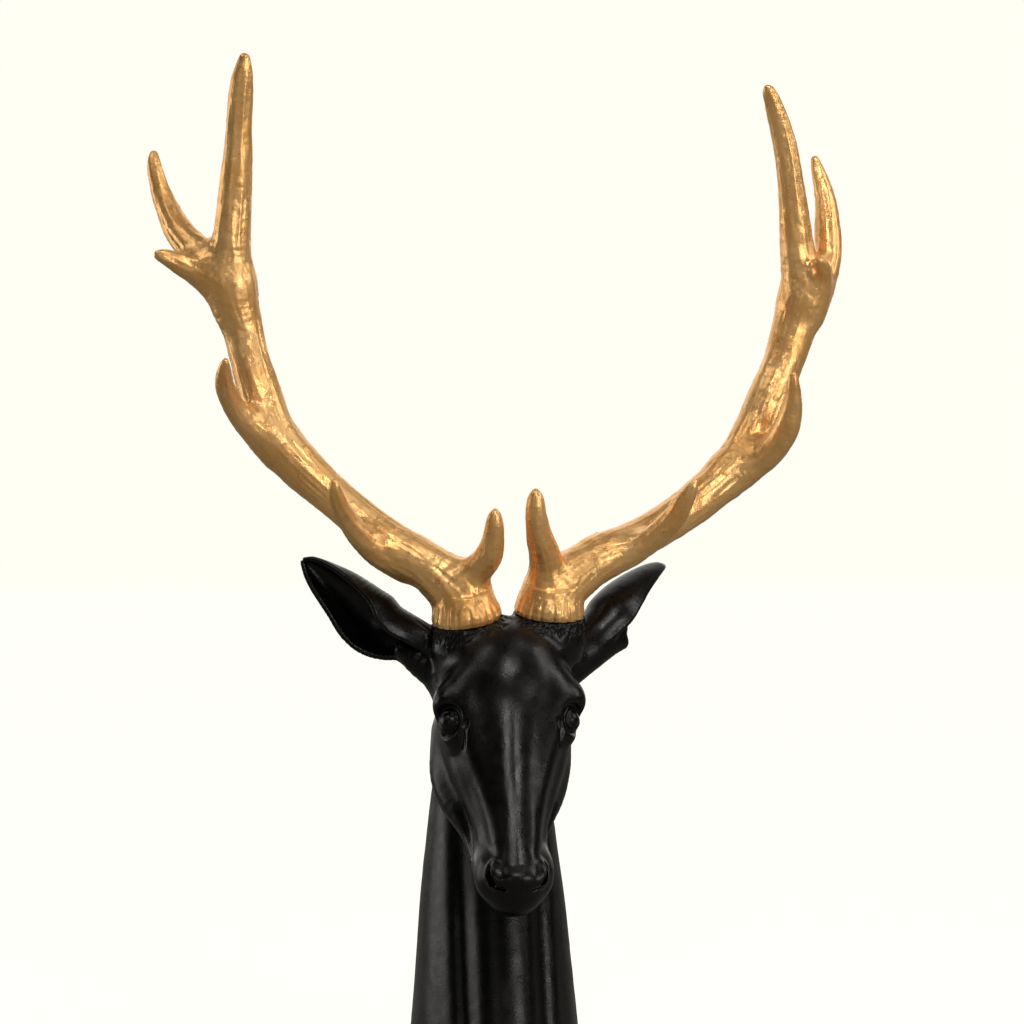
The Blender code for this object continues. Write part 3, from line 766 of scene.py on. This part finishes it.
# Rounded masses of the head: centre, half sizes, roll, reach of the fillet round it
HEAD_MASSES = {
    "forehead": ((0, 2, 3), (20.0, 19, 17.0), 0.0, 3.0),
    "temple": ((14.5, -4, -8), (8.6, 12.6, 11.6), 0.0, 4.0),
    "eye_roof": ((16.8, 12.2, 7.4), (7.6, 8.4, 6.2), 0.2, 4.0),
    "eye_mount": ((16.2, 19.6, 5.4), (6.6, 8.2, 5.6), 0.0, 3.0),
    "brow_bulge": ((20.0, 12.0, 6.6), (3.5, 5.4, 5.0), 0.25, 2.6),
    "muzzle": ((0, 69.5, -0.5), (10.9, 10.2, 9.4), 0.0, 3.0),
    "upper_lip": ((7.0, 67.6, -1.2), (5.4, 8.2, 6.2), 0.0, 2.5),
    "nose_pad": ((0, 73.4, 5.0), (7.8, 4.4, 5.6), 0.0, 1.4),
    "nostril_wing": ((6.7, 71.2, 5.8), (3.4, 4.9, 3.5), 0.0, 1.1),
    "nostril_rim": ((5.6, 73.6, 7.0), (1.9, 2.2, 1.7), 0.0, 0.8),
    "chin": ((0, 70.5, -6.6), (4.6, 8.2, 5.0), 0.0, 2.0),
}

# Long forms of the head: reach of the fillet, then rows of side, along, out, radius
HEAD_RUNS = {
    "cheek": (4.0, [
        (14.8, 14, -10, 7.6), (15.6, 24, -11, 7.4), (15.2, 31, -11.5, 7.0), (13.4, 38, -11, 6.5),
        (10.4, 46, -9.5, 5.4), (8.8, 51, -8.4, 4.8), (8.0, 57, -6.6, 4.4), (7.8, 63, -5.0, 4.4)]),
    "jaw": (4.0, [
        (9.3, 18, -19.5, 5.0), (8.6, 34, -16.5, 5.0), (7.0, 50, -12.0, 4.6), (5.0, 64, -8.2, 4.2)]),
    "bridge": (3.4, [
        (2.6, 18, 9.2, 5.0), (3.0, 30, 9.2, 4.6), (3.2, 40, 9.0, 3.9), (3.0, 50, 8.3, 3.3),
        (2.9, 62, 7.1, 3.0), (2.9, 71, 6.3, 2.8)]),
    "brow": (3.6, [
        (13.2, 7, 9.4, 5.0), (13.2, 15, 8.9, 4.8), (12.2, 23, 8.3, 4.3), (10.4, 31, 7.6, 3.8),
        (8.2, 40, 6.8, 3.3), (6.0, 50, 6.1, 2.9), (4.4, 60, 5.5, 2.6)]),
    "cheek_groove": (2.4, [(15.6, 45, -4.0, 1.5), (13.6, 52, -5.2, 1.8), (12.4, 59, -5.8, 1.0)]),
}
HEAD_ROPES = {name: (reach, smooth_run(rows, 3)) for name, (reach, rows) in HEAD_RUNS.items()}

# Order in which the forms go on the skull
FORMS_OF_SKULL = (
    "forehead", "temple", "cheek", "jaw", "bridge", "eye_roof", "brow", "eye_mount", "muzzle", "upper_lip",
    "nose_pad", "nostril_wing", "chin",
)


def mass_on(clay, side, along, out, name):
    """Add one rounded mass of the head."""
    centre, sizes, roll, reach = HEAD_MASSES[name]
    return soft_join(clay, egg(side, along, out, centre, sizes, roll), reach)


def skull_form(side, along, out):
    """Skull, brows, cheeks, jaw and muzzle before the eyes, nose and mouth are cut."""
    place = np.array((side, along, out))
    clay = skull_clay(side, along, out)
    for name in FORMS_OF_SKULL:
        if name in HEAD_MASSES:
            clay = mass_on(clay, side, along, out, name)
        else:
            reach, run = HEAD_ROPES[name]
            clay = soft_join(clay, rope(place, run), reach)
    reach, run = HEAD_ROPES["cheek_groove"]
    return soft_cut(clay, rope(place, run), reach)


# Tear duct and inner corner of the eye: side, along, height above the skin, radius
DUCT = [(15.6, 23.0, 0.4, 0.9), (15.8, 25.0, 0.3, 0.9), (15.8, 27.0, 0.3, 0.8), (15.6, 29.2, 0.4, 0.5)]
CORNER = (15.2, 23.0, 0.4, 1.4)


def set_on_skin(rows):
    """Turn heights above the skull's skin into depths on the head."""
    outs = np.linspace(20, -8, 281).astype(np.float32)
    laid = []
    for side, along, height, radius in rows:
        flat = np.ones_like(outs)
        form = skull_form(flat * side, flat * along, outs)
        laid.append((side, along, float(outs[np.argmax(form < 0)]) + height, radius))
    return laid


DUCT_RUN = smooth_run(set_on_skin(DUCT), 4)
CORNER_HOLLOW = set_on_skin([CORNER])[0]


def duct_clay(clay, side, along, out):
    """Hollow at the inner corner of the eye and the tear duct that runs down from it."""
    place = np.array((side, along, out))
    clay = soft_cut(clay, rope(place, DUCT_RUN), 1.1)
    size = CORNER_HOLLOW[3]
    hollow = egg(side, along, out, CORNER_HOLLOW[:3], (size * 0.8, size * 1.5, size), 0.35)
    return soft_cut(clay, hollow, 0.7)


# Cuts in the muzzle: side, along, out, radius
NOSTRIL = smooth_run([
    (8.2, 65.6, 8.4, 0.5), (9.2, 68.4, 7.8, 1.0), (9.4, 71.2, 6.8, 1.5), (8.2, 73.8, 6.4, 1.6),
    (6.1, 75.6, 6.4, 1.2), (4.2, 76.6, 6.6, 0.6)], 4)
PHILTRUM = np.array(((0.0, 76.0, 10.0, 0.3), (0.0, 79.6, 6.8, 0.45), (0.0, 82.4, 2.4, 0.4)))
MOUTH_LINE = smooth_run([
    (9.6, 57, -9.0, 0.3), (10.4, 62, -7.6, 0.5), (10.4, 67, -6.2, 0.6), (9.6, 72, -4.8, 0.6),
    (7.6, 76.2, -3.4, 0.6), (4.8, 78.8, -2.4, 0.7), (-0.5, 79.8, -2.0, 0.7)], 4)


def muzzle_clay(clay, side, along, out):
    """Cut the nostrils, philtrum and mouth into the muzzle."""
    place = np.array((side, along, out))
    clay = soft_cut(clay, rope(place, NOSTRIL), 0.8)
    clay = soft_cut(clay, egg(side, along, out, (7.6, 71.4, 4.6), (1.6, 3.0, 2.0)), 0.8)
    clay = mass_on(clay, side, along, out, "nostril_rim")
    clay = soft_cut(clay, rope(place, PHILTRUM), 0.8)
    return soft_cut(clay, rope(place, MOUTH_LINE), 0.8)


# Boxes of the face that the eyes and the muzzle are cut in: low and high side, along, out
EYE_REGION = ((6, 4, -6), (60, 44, 24))
MUZZLE_REGION = ((-1, 52, -12), (60, 90, 60))


def face_clay(points, radius):
    """Skull, brows, cheeks, muzzle, nose, lips, chin and eyes."""
    side, along, out = on_face(points)
    side = np.abs(side)
    clay = skull_form(side, along, out)
    near = in_box((side, along, out), *EYE_REGION)
    eye = eye_clay(clay[near], side[near], along[near], out[near], radius)
    clay[near] = duct_clay(eye, side[near], along[near], out[near])
    near = in_box((side, along, out), *MUZZLE_REGION)
    clay[near] = muzzle_clay(clay[near], side[near], along[near], out[near])
    return clay


def ear_clay(points, rows, opening, wall):
    """Distance to a cupped sheet carried along the spine of an ear."""
    run = smooth_run(rows, 6)
    directions, _ = carried_frames(run)
    opening = np.array(opening)
    backs = -(opening - directions * (directions @ opening)[:, None])
    backs /= np.linalg.norm(backs, axis=1)[:, None]
    _, carried = nearest_on(points, run, False)
    direction, back = (carried(rows).astype(np.float32) for rows in (directions, backs))
    centre, radius = (carried(rows).astype(np.float32) for rows in (run[:, :3], run[:, 3]))
    above, below = (carried(rows).astype(np.float32) for rows in (run[:, 4], run[:, 5]))
    across = np.cross(direction.T, back.T).T
    rel = points - centre
    up = (rel * back).sum(0)
    over = (rel * across).sum(0)
    past = np.abs((rel * direction).sum(0))
    edge = np.radians(np.where(over < 0, above, below))
    middle = np.maximum(radius - wall / 2, 0.05)
    half = np.minimum(wall / 2, radius * 0.6)
    angle = np.abs(np.arctan2(over, up))
    sheet = np.abs(np.hypot(up, over) - middle) - half
    rim = np.hypot(up - middle * np.cos(edge), np.abs(over) - middle * np.sin(edge)) - half * 1.12
    clay = np.where(angle < edge, np.minimum(sheet, rim), rim)
    return np.where(past > 0.02, np.hypot(np.maximum(clay, 0.0), past) + np.minimum(clay, 0.0), clay)


def pedicle_clay(points, name, radius):
    """Short boss of the skull under an antler."""
    x, y, z = on_seat(points, name)
    profile = np.interp(z, (-14, -8, -4, -1.2, 1.0), np.array((1.04, 1.14, 1.07, 0.99, 0.95)) * radius)
    return np.maximum(np.hypot(x, y) - profile, np.maximum(-14 - z, z - 1.0))


def bust_clay(points, eyeball, wall, burr):
    """Whole casting of head, ears and neck."""
    clay = soft_join(neck_clay(points), face_clay(points, eyeball), 7.0)
    for name in SEATS:
        clay = soft_join(clay, pedicle_clay(points, name, burr), 3.5)
    for root in EAR_ROOTS:
        clay = soft_join(clay, rope(points, smooth_run(root, 3)), 3.0)
    for rows, opening, low, high in EARS:
        ear = near_only(points, low, high, lambda part: ear_clay(part, rows, opening, wall))
        clay = soft_join(clay, ear, 1.8)
    for name in SEATS:
        x, y, z = on_seat(points, name)
        seat = np.maximum(np.hypot(x, y) - (burr + 2 * SEAT_GAP), np.maximum(-SEAT_GAP - z, z - 14))
        clay = soft_cut(clay, seat, 0.3)
    return clay


def fall_from_burr(x, y, z, burr):
    """Distance down the skull from the rim of a coronet."""
    return np.maximum(np.hypot(x, y) - burr, 0.0) + np.maximum(-z, 0.0) * 0.8


def crown_fur(points, burr):
    """Height of the carved tufts that fall from under the antlers."""
    height = np.zeros(points.shape[1], np.float32)
    for number, name in enumerate(SEATS):
        x, y, z = on_seat(points, name)
        fall = fall_from_burr(x, y, z, burr)
        turn = np.arctan2(y, x) + 0.05 * cloud(np.array((x / 6, y / 6, z / 6)), 5 + number)
        sweep = turn + 0.035 * fall
        strokes, fine = (
            cloud(np.array((np.cos(sweep) * count, np.sin(sweep) * count, fall / reach + number * 9)), seed)
            for count, reach, seed in ((11, 2.6, 11), (20, 1.8, 12)))
        tuft = (1 - 2 * np.abs(strokes)) * 0.65 + (1 - 2 * np.abs(fine)) * 0.35
        ragged = 6.4 + 1.6 * np.sin(turn * 9.1) * np.cos(turn * 4.03)
        band = np.clip((ragged - fall) / 3.8, 0, 1) * np.clip((z + 16) / 4, 0, 1)
        band = band * np.clip((np.hypot(x, y) - burr + 2.5) / 2, 0, 1)
        height = height + tuft * band * (np.abs(height) < 0.02)
    return height


# Where the mesh is split finer: round the eye, past the start of the nose, down from the rim of a coronet
FINE_EYE = (19, 22, 8)
FINE_EYE_REACH = 9.5
FINE_NOSE = 65
FINE_CROWN = 8.5


def finely_carved(points, burr):
    """Whether points lie round the eyes, the nose or the crown, where the carving is fine."""
    side, along, out = on_face(points)
    side = np.abs(side)
    a, b, c = FINE_EYE
    eye = np.sqrt((side - a) ** 2 + (along - b) ** 2 + (out - c) ** 2) < FINE_EYE_REACH
    nose = (along > FINE_NOSE) & (out > -6)
    crown = np.zeros(points.shape[1], bool)
    for name in SEATS:
        x, y, z = on_seat(points, name)
        crown |= (fall_from_burr(x, y, z, burr) < FINE_CROWN) & (z < 1) & (z > -14)
    return eye | nose | crown


class STAG_OT_head_and_neck(bpy.types.Operator):
    """Model the black casting of head, ears and neck"""
    bl_idname = "stag.head_and_neck"
    bl_label = "Head and Neck"

    def execute(self, context):
        sizes = context.scene.stag_head
        burr = context.scene.stag_antlers.burr_radius / MM
        eyeball = sizes.eyeball_radius / MM
        wall = sizes.ear_wall / MM
        step = sizes.skin_step / MM * 1.0

        def clay(points):
            return bust_clay(points, eyeball, wall, burr)

        low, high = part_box("head_and_neck")
        low = np.array(low) / MM - 3
        high = np.array(high) / MM + 3
        points, quads = skinned(clay, low, high, step)
        mesh = new_mesh("head_and_neck_clay", points, quads)

        def relief(points):
            lift = crown_fur(points, burr) * (sizes.fur_depth / MM)
            return lift + 0.06 * cloud(points / 5.0, 3) + 0.03 * cloud(points / 2.2, 4)

        refine(mesh, lambda middles: finely_carved(middles, burr))
        carve(mesh, clay, step, relief, lambda points: points[2] < 0.6)
        piece = finish_piece("stag_head_and_neck", mesh, sizes.faces, black_paint(context.scene.stag_paint))
        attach(piece, "root")
        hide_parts("head_and_neck")
        return {"FINISHED"}


# Antlers


# Coronet profile by height over the seat, as shares of its radius
BURR_HEIGHTS = (-3, 0, 1.6, 3.6, 6.0, 9.0)
BURR_SHARES = np.array((0.94, 0.97, 1.0, 0.965, 0.86, 0.72))

# Tines in the order that they join the beam, with the reach of each fillet
TINE_FILLETS = {"brow": 4.0, "bez": 5.0, "third": 5.0, "fork": 5.0, "stub": 4.0}


def burr_clay(points, name, radius, flutes):
    """Fluted coronet at the foot of an antler."""
    x, y, z = on_seat(points, name)
    angle = np.arctan2(y, x)
    warp = 0.9 * cloud(np.array((np.cos(angle) * 2.1, np.sin(angle) * 2.1, np.full_like(z, 7))), 21)
    wave = np.cos(angle * flutes + warp * 3)
    groove = np.clip(0.1 - wave, 0, 2) ** 1.5 * 0.7
    depth = 0.55 + 0.45 * cloud(np.array((np.cos(angle) * 4, np.sin(angle) * 4, z * 0.12)), 22)
    fade = np.clip((7.4 - z) / 3.0, 0, 1) * np.clip((z + 1.5) / 1.5, 0, 1)
    profile = np.interp(z, BURR_HEIGHTS, BURR_SHARES * radius)
    lumps = 0.35 * cloud(np.array((np.cos(angle) * 3, np.sin(angle) * 3, z * 0.3)), 23)
    round_ = np.hypot(x, y) - (profile - groove * depth * fade + lumps * fade)
    return np.maximum(round_, np.maximum(BURR_HEIGHTS[0] - z, z - BURR_HEIGHTS[-1]))


def antler_clay(points, name, runs, radius, flutes):
    """One antler: beam, tines and coronet, cut flat where it meets the skull."""
    clay = rope(points, runs["beam"])
    for tine, reach in TINE_FILLETS.items():
        clay = soft_join(clay, rope(points, runs[tine]), reach)
    clay = soft_join(clay, burr_clay(points, name, radius, flutes), 1.8)
    z = on_seat(points, name)[2]
    return soft_cut(clay, z, 0.4)


def antler_relief(points, name, runs, depth):
    """Height of the long ridges and hollows on the beam and tines."""
    places = {tine: place_on_rope(points, run) for tine, run in runs.items()}
    closest = np.min([place[0] for place in places.values()], axis=0)
    total = np.zeros(points.shape[1], np.float32)
    weight = np.zeros(points.shape[1], np.float32)
    for number, (near, travelled, angle, radius) in enumerate(places.values()):
        share = np.exp(-np.clip(near - closest, 0, 20) / 1.2)
        rounds = np.array((np.cos(angle), np.sin(angle)))
        long_ = travelled / 26 + number * 17
        coarse, middle, fine = (
            cloud(np.array((rounds[0] * radius / width, rounds[1] * radius / width, long_ * stretch)), seed)
            for width, stretch, seed in ((3.4, 1.0, 31), (1.7, 1.6, 32), (0.85, 2.6, 33)))
        ridge = coarse + (0.5 - np.abs(middle) * 1.6) * 0.7 + fine * 0.28
        tip = np.clip(radius / 2.4, 0.15, 1.0)
        total += share * ridge * tip
        weight += share
    relief = total / weight * depth
    z = on_seat(points, name)[2]
    relief = relief * np.clip((z - 5.5) / 5, 0.0, 1.0)
    hammered = cloud(points / 1.5, 34) * 0.07 + cloud(points / 3.2, 35) * 0.10
    return relief + hammered * np.clip(z / 4, 0.2, 1)


SPECK_SEED = 40
SPECKS = 230


def specks(points, seed, count):
    """Small blobs of thick paint scattered over an antler."""
    chance = np.random.default_rng(seed)
    height = np.zeros(points.shape[1], np.float32)
    for index in chance.choice(points.shape[1], count, replace=False):
        size = chance.uniform(0.35, 0.75)
        tall = chance.uniform(0.10, 0.26)
        rel = points - points[:, index:index + 1]
        far = (rel * rel).sum(0)
        close = far < (size * 3) ** 2
        height[close] = np.maximum(height[close], tall * np.exp(-far[close] / size ** 2))
    return height


class STAG_OT_antlers(bpy.types.Operator):
    """Model the two gold antlers with their coronets"""
    bl_idname = "stag.antlers"
    bl_label = "Antlers"

    def execute(self, context):
        sizes = context.scene.stag_antlers
        radius = sizes.burr_radius / MM
        step = sizes.skin_step / MM * 1.0
        gold = gold_paint(context.scene.stag_paint)
        for seed, name in enumerate(SEATS):
            runs = {tine: smooth_run(rows, 5) for tine, rows in ANTLERS[name].items()}

            def clay(points, name=name, runs=runs):
                return antler_clay(points, name, runs, radius, sizes.burr_flutes)

            low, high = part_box(name)
            points, quads = skinned(clay, np.array(low) / MM - 2, np.array(high) / MM + 2, step)
            mesh = new_mesh(name + "_clay", points, quads)
            refine(mesh, lambda middles, name=name: on_seat(middles, name)[2] < 8)

            def relief(points, name=name, runs=runs, seed=seed):
                lift = antler_relief(points, name, runs, sizes.ridge_depth / MM)
                return lift + specks(points, SPECK_SEED + seed, SPECKS)

            carve(mesh, clay, step, relief, lambda points, name=name: on_seat(points, name)[2] < 0.25)
            piece = finish_piece("stag_" + name, mesh, sizes.faces, gold)
            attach(piece, "root")
            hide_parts(name)
        return {"FINISHED"}


# Paint


def new_material(name):
    """Empty painted material with its nodes, links and shader."""
    material = bpy.data.materials.new(name)
    material.use_nodes = True
    nodes = material.node_tree.nodes
    return material, nodes, material.node_tree.links, nodes["Principled BSDF"]


def noise(nodes, links, coords, scale, detail, roughness=0.5):
    """Cloudy noise over the piece."""
    node = nodes.new("ShaderNodeTexNoise")
    node.inputs["Scale"].default_value = scale
    node.inputs["Detail"].default_value = detail
    node.inputs["Roughness"].default_value = roughness
    links.new(coords.outputs["Object"], node.inputs["Vector"])
    return node


def ramp(nodes, links, source, stops):
    """Colours by place along a value."""
    node = nodes.new("ShaderNodeValToRGB")
    elements = node.color_ramp.elements
    while len(elements) < len(stops):
        elements.new(0.5)
    for element, (place, colour) in zip(elements, stops):
        element.position = place
        element.color = (*colour, 1.0) if len(colour) == 3 else colour
    links.new(source, node.inputs["Fac"])
    return node


def span(nodes, links, source, low, high, out_low, out_high):
    """Value moved from one range to another."""
    node = nodes.new("ShaderNodeMapRange")
    for name, value in (("From Min", low), ("From Max", high), ("To Min", out_low), ("To Max", out_high)):
        node.inputs[name].default_value = value
    links.new(source, node.inputs["Value"])
    return node


def bump(nodes, links, height, distance, before=None):
    """Fine relief in the paint, over other relief if there is any."""
    node = nodes.new("ShaderNodeBump")
    node.inputs["Strength"].default_value = 1.0
    node.inputs["Distance"].default_value = distance
    links.new(height, node.inputs["Height"])
    if before:
        links.new(before.outputs["Normal"], node.inputs["Normal"])
    return node


def shade(colour, factor):
    """Colour made lighter or darker."""
    return tuple(min(1.0, channel * factor) for channel in colour)


def black_paint(paint):
    """Satin black paint, a little mottled, over a finely pitted casting."""
    material, nodes, links, shader = new_material("satin_black_paint")
    coords = nodes.new("ShaderNodeTexCoord")
    base = tuple(paint.black)
    mottled = noise(nodes, links, coords, 90, 4, 0.6)
    tone = ramp(nodes, links, mottled.outputs["Fac"], ((0.25, shade(base, 0.8)), (0.75, shade(base, 1.35))))
    links.new(tone.outputs["Color"], shader.inputs["Base Color"])
    dull = noise(nodes, links, coords, 260, 3, 0.6)
    level = paint.black_roughness
    matt = span(nodes, links, dull.outputs["Fac"], 0.3, 0.7, level - 0.05, level + 0.06)
    links.new(matt.outputs["Result"], shader.inputs["Roughness"])
    shader.inputs["Specular IOR Level"].default_value = 0.27
    grain = noise(nodes, links, coords, 1500, 2, 0.5)
    pits = ramp(nodes, links, grain.outputs["Fac"], ((0.36, (0.0, 0.0, 0.0)), (0.70, (1.0, 1.0, 1.0))))
    skin_bump = bump(nodes, links, pits.outputs["Color"], 0.000018)
    links.new(skin_bump.outputs["Normal"], shader.inputs["Normal"])
    return material


def gold_paint(paint):
    """Bright metallic gold paint, patchy in warmth and sheen, with a fine grain and an orange peel."""
    material, nodes, links, shader = new_material("bright_gold_paint")
    coords = nodes.new("ShaderNodeTexCoord")
    base = tuple(paint.gold)
    patches = noise(nodes, links, coords, 70, 5, 0.6)
    warm = (base[0] * 0.92, base[1] * 0.80, base[2] * 0.62)
    stops = ((0.3, warm), (0.62, base), (0.85, shade(base, 1.08)))
    tone = ramp(nodes, links, patches.outputs["Fac"], stops)
    links.new(tone.outputs["Color"], shader.inputs["Base Color"])
    shader.inputs["Metallic"].default_value = 0.6
    streak = noise(nodes, links, coords, 330, 4, 0.6)
    level = paint.gold_roughness
    matt = span(nodes, links, streak.outputs["Fac"], 0.3, 0.7, level - 0.06, level + 0.09)
    links.new(matt.outputs["Result"], shader.inputs["Roughness"])
    grain = noise(nodes, links, coords, 1900, 4, 0.6)
    fine = bump(nodes, links, grain.outputs["Fac"], 0.00008)
    orange_peel = noise(nodes, links, coords, 520, 2, 0.5)
    peel = bump(nodes, links, orange_peel.outputs["Fac"], 0.00010, fine)
    links.new(peel.outputs["Normal"], shader.inputs["Normal"])
    return material


def split_by_ray(nodes, links, others, camera, output):
    """Show one shader to the camera and another to every other ray."""
    ray = nodes.new("ShaderNodeLightPath")
    choice = nodes.new("ShaderNodeMixShader")
    links.new(ray.outputs["Is Camera Ray"], choice.inputs["Fac"])
    links.new(others, choice.inputs[1])
    links.new(camera, choice.inputs[2])
    links.new(choice.outputs["Shader"], output.inputs["Surface"])


def backdrop_paint(studio):
    """Pale matt paper: the camera sees it fully lit, and it throws only a dim glow on the bust."""
    material, nodes, links, shader = new_material("pale_paper")
    coords = nodes.new("ShaderNodeTexCoord")
    mottled = noise(nodes, links, coords, 2.0, 2)
    colour = tuple(studio.backdrop)
    stops = ((0.3, shade(colour, 0.11)), (0.7, shade(colour, 0.13)))
    tone = ramp(nodes, links, mottled.outputs["Fac"], stops)
    dim = nodes.new("ShaderNodeBsdfPrincipled")
    for sheet, glow in ((shader, 0.965), (dim, studio.floor_glow)):
        links.new(tone.outputs["Color"], sheet.inputs["Base Color"])
        sheet.inputs["Roughness"].default_value = 0.9
        sheet.inputs["Emission Color"].default_value = (*colour, 1.0)
        sheet.inputs["Emission Strength"].default_value = glow
    split_by_ray(nodes, links, dim.outputs["BSDF"], shader.outputs["BSDF"], nodes["Material Output"])
    return material


# Wall that lights the bust from behind: its direction and its colour
WALL_WAY = (0.0, 0.94, 0.34)
WALL_COLOUR = (1.0, 0.96, 0.90, 1.0)


def pale_room(studio):
    """World: an even pale backdrop for the camera, and a bright wall behind the bust for its light."""
    world = bpy.data.worlds.new("pale_room")
    world.use_nodes = True
    nodes = world.node_tree.nodes
    links = world.node_tree.links
    seen = nodes["Background"]
    seen.inputs["Color"].default_value = (*studio.backdrop, 1.0)
    wall = nodes.new("ShaderNodeBackground")
    wall.inputs["Color"].default_value = WALL_COLOUR
    coords = nodes.new("ShaderNodeTexCoord")
    facing = nodes.new("ShaderNodeVectorMath")
    facing.operation = "DOT_PRODUCT"
    facing.inputs[1].default_value = unit(WALL_WAY)
    links.new(coords.outputs["Generated"], facing.inputs[0])
    glow = span(nodes, links, facing.outputs["Value"], 0.52, 0.96, 0.02, studio.wall_light)
    glow.interpolation_type = "SMOOTHSTEP"
    links.new(glow.outputs["Result"], wall.inputs["Strength"])
    split_by_ray(nodes, links, wall.outputs["Background"], seen.outputs["Background"], nodes["World Output"])
    return world


# Studio


# Soft lamps round the bust: name, turn from the front, rise, width, height, share of the lamp power
SOFT_LAMPS = (
    ("key", 34, 6, 0.45, 0.30, 0.8),
    ("right", 76, 32, 0.30, 0.80, 0.8),
    ("front_top", 4, 40, 0.26, 0.22, 0.8),
    ("left_top", -66, 54, 0.40, 0.50, 0.40),
    ("left", -24, 6, 0.30, 0.30, 0.10),
    ("top", 50, 65, 0.40, 0.40, 0.20),
    ("left_wall", -112, 2, 0.50, 0.90, 0.8),
)
LAMP_DISTANCE = 1.25
LAMP_TARGET = (0.0, 0.0, 0.2)
LAMP_COLOUR = (1.0, 0.98, 0.95)
CAMERA_PLACE = (-0.1040, -0.7832, 0.207)
CAMERA_TURN = -8.0
FLOOR_REACH = 6.0


def soft_light(name, turn, rise, width, height, power):
    """Soft lamp round the head, aimed at it."""
    around, up = math.radians(turn), math.radians(rise)
    way = np.array((math.sin(around) * math.cos(up), -math.cos(around) * math.cos(up), math.sin(up)))
    lamp = bpy.data.lights.new(name, "AREA")
    lamp.shape = "RECTANGLE"
    lamp.size = width
    lamp.size_y = height
    lamp.energy = power
    lamp.color = LAMP_COLOUR
    item = bpy.data.objects.new(name, lamp)
    bpy.context.scene.collection.objects.link(item)
    item.location = way * LAMP_DISTANCE + np.array(LAMP_TARGET)
    item.rotation_euler = (math.pi / 2 - up, 0.0, around)


def pale_floor(studio):
    """Wide sheet of pale paper that the bust stands on."""
    sheet = bpy.data.meshes.new("floor")
    corners = [(x * FLOOR_REACH, y * FLOOR_REACH, 0) for x, y in ((-1, -1), (1, -1), (1, 1), (-1, 1))]
    sheet.from_pydata(corners, [], [(0, 1, 2, 3)])
    sheet.materials.append(backdrop_paint(studio))
    floor = bpy.data.objects.new("floor", sheet)
    bpy.context.scene.collection.objects.link(floor)
    return floor


def place_camera(studio):
    """Level camera in front of the bust, a little to its own right."""
    lens = bpy.data.cameras.new("camera")
    lens.lens = studio.lens
    lens.sensor_width = 36.0
    lens.clip_start = 0.02
    lens.clip_end = 30.0
    camera = bpy.data.objects.new("camera", lens)
    bpy.context.scene.collection.objects.link(camera)
    camera.location = CAMERA_PLACE
    camera.rotation_euler = (math.radians(90), 0.0, math.radians(CAMERA_TURN))
    return camera


class STAG_OT_studio(bpy.types.Operator):
    """Set up the pale floor, soft light and camera"""
    bl_idname = "stag.studio"
    bl_label = "Studio"

    def execute(self, context):
        studio = context.scene.stag_studio
        floor = pale_floor(studio)
        floor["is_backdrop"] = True
        context.scene.world = pale_room(studio)
        for name, turn, rise, width, height, share in SOFT_LAMPS:
            soft_light(name, turn, rise, width, height, studio.lamp_power * share)
        context.scene.camera = place_camera(studio)
        context.scene.view_settings.view_transform = "Standard"
        return {"FINISHED"}


class STAG_PT_panel(bpy.types.Panel):
    """Stag bust tools"""
    bl_idname = "STAG_PT_panel"
    bl_label = "Stag Bust"
    bl_space_type = "VIEW_3D"
    bl_region_type = "UI"
    bl_category = "Stag Bust"

    def draw(self, context):
        layout = self.layout
        for group, operator in (("stag_head", "stag.head_and_neck"), ("stag_antlers", "stag.antlers"),
                                ("stag_paint", None), ("stag_studio", "stag.studio")):
            box = layout.box()
            owner = getattr(context.scene, group)
            for name in owner.bl_rna.properties.keys():
                if name not in ("rna_type", "name"):
                    box.prop(owner, name)
            if operator:
                box.operator(operator)


CLASSES = (
    BustHead, BustAntlers, BustPaint, BustStudio, STAG_OT_head_and_neck, STAG_OT_antlers, STAG_OT_studio,
    STAG_PT_panel,
)


GROUPS = {
    "stag_head": BustHead, "stag_antlers": BustAntlers, "stag_paint": BustPaint, "stag_studio": BustStudio,
}


def register():
    for item in CLASSES:
        bpy.utils.register_class(item)
    for name, group in GROUPS.items():
        setattr(bpy.types.Scene, name, bpy.props.PointerProperty(type=group))


def unregister():
    for name in GROUPS:
        delattr(bpy.types.Scene, name)
    for item in reversed(CLASSES):
        bpy.utils.unregister_class(item)


def main():
    register()
    bpy.ops.stag.studio()
    bpy.ops.stag.head_and_neck()
    bpy.ops.stag.antlers()
    boxes = {"cad": CAD_BOX, "visual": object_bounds()}
    sizes = {name: [list(corner) for corner in box] for name, box in boxes.items()}


if __name__ == "__main__":
    main()
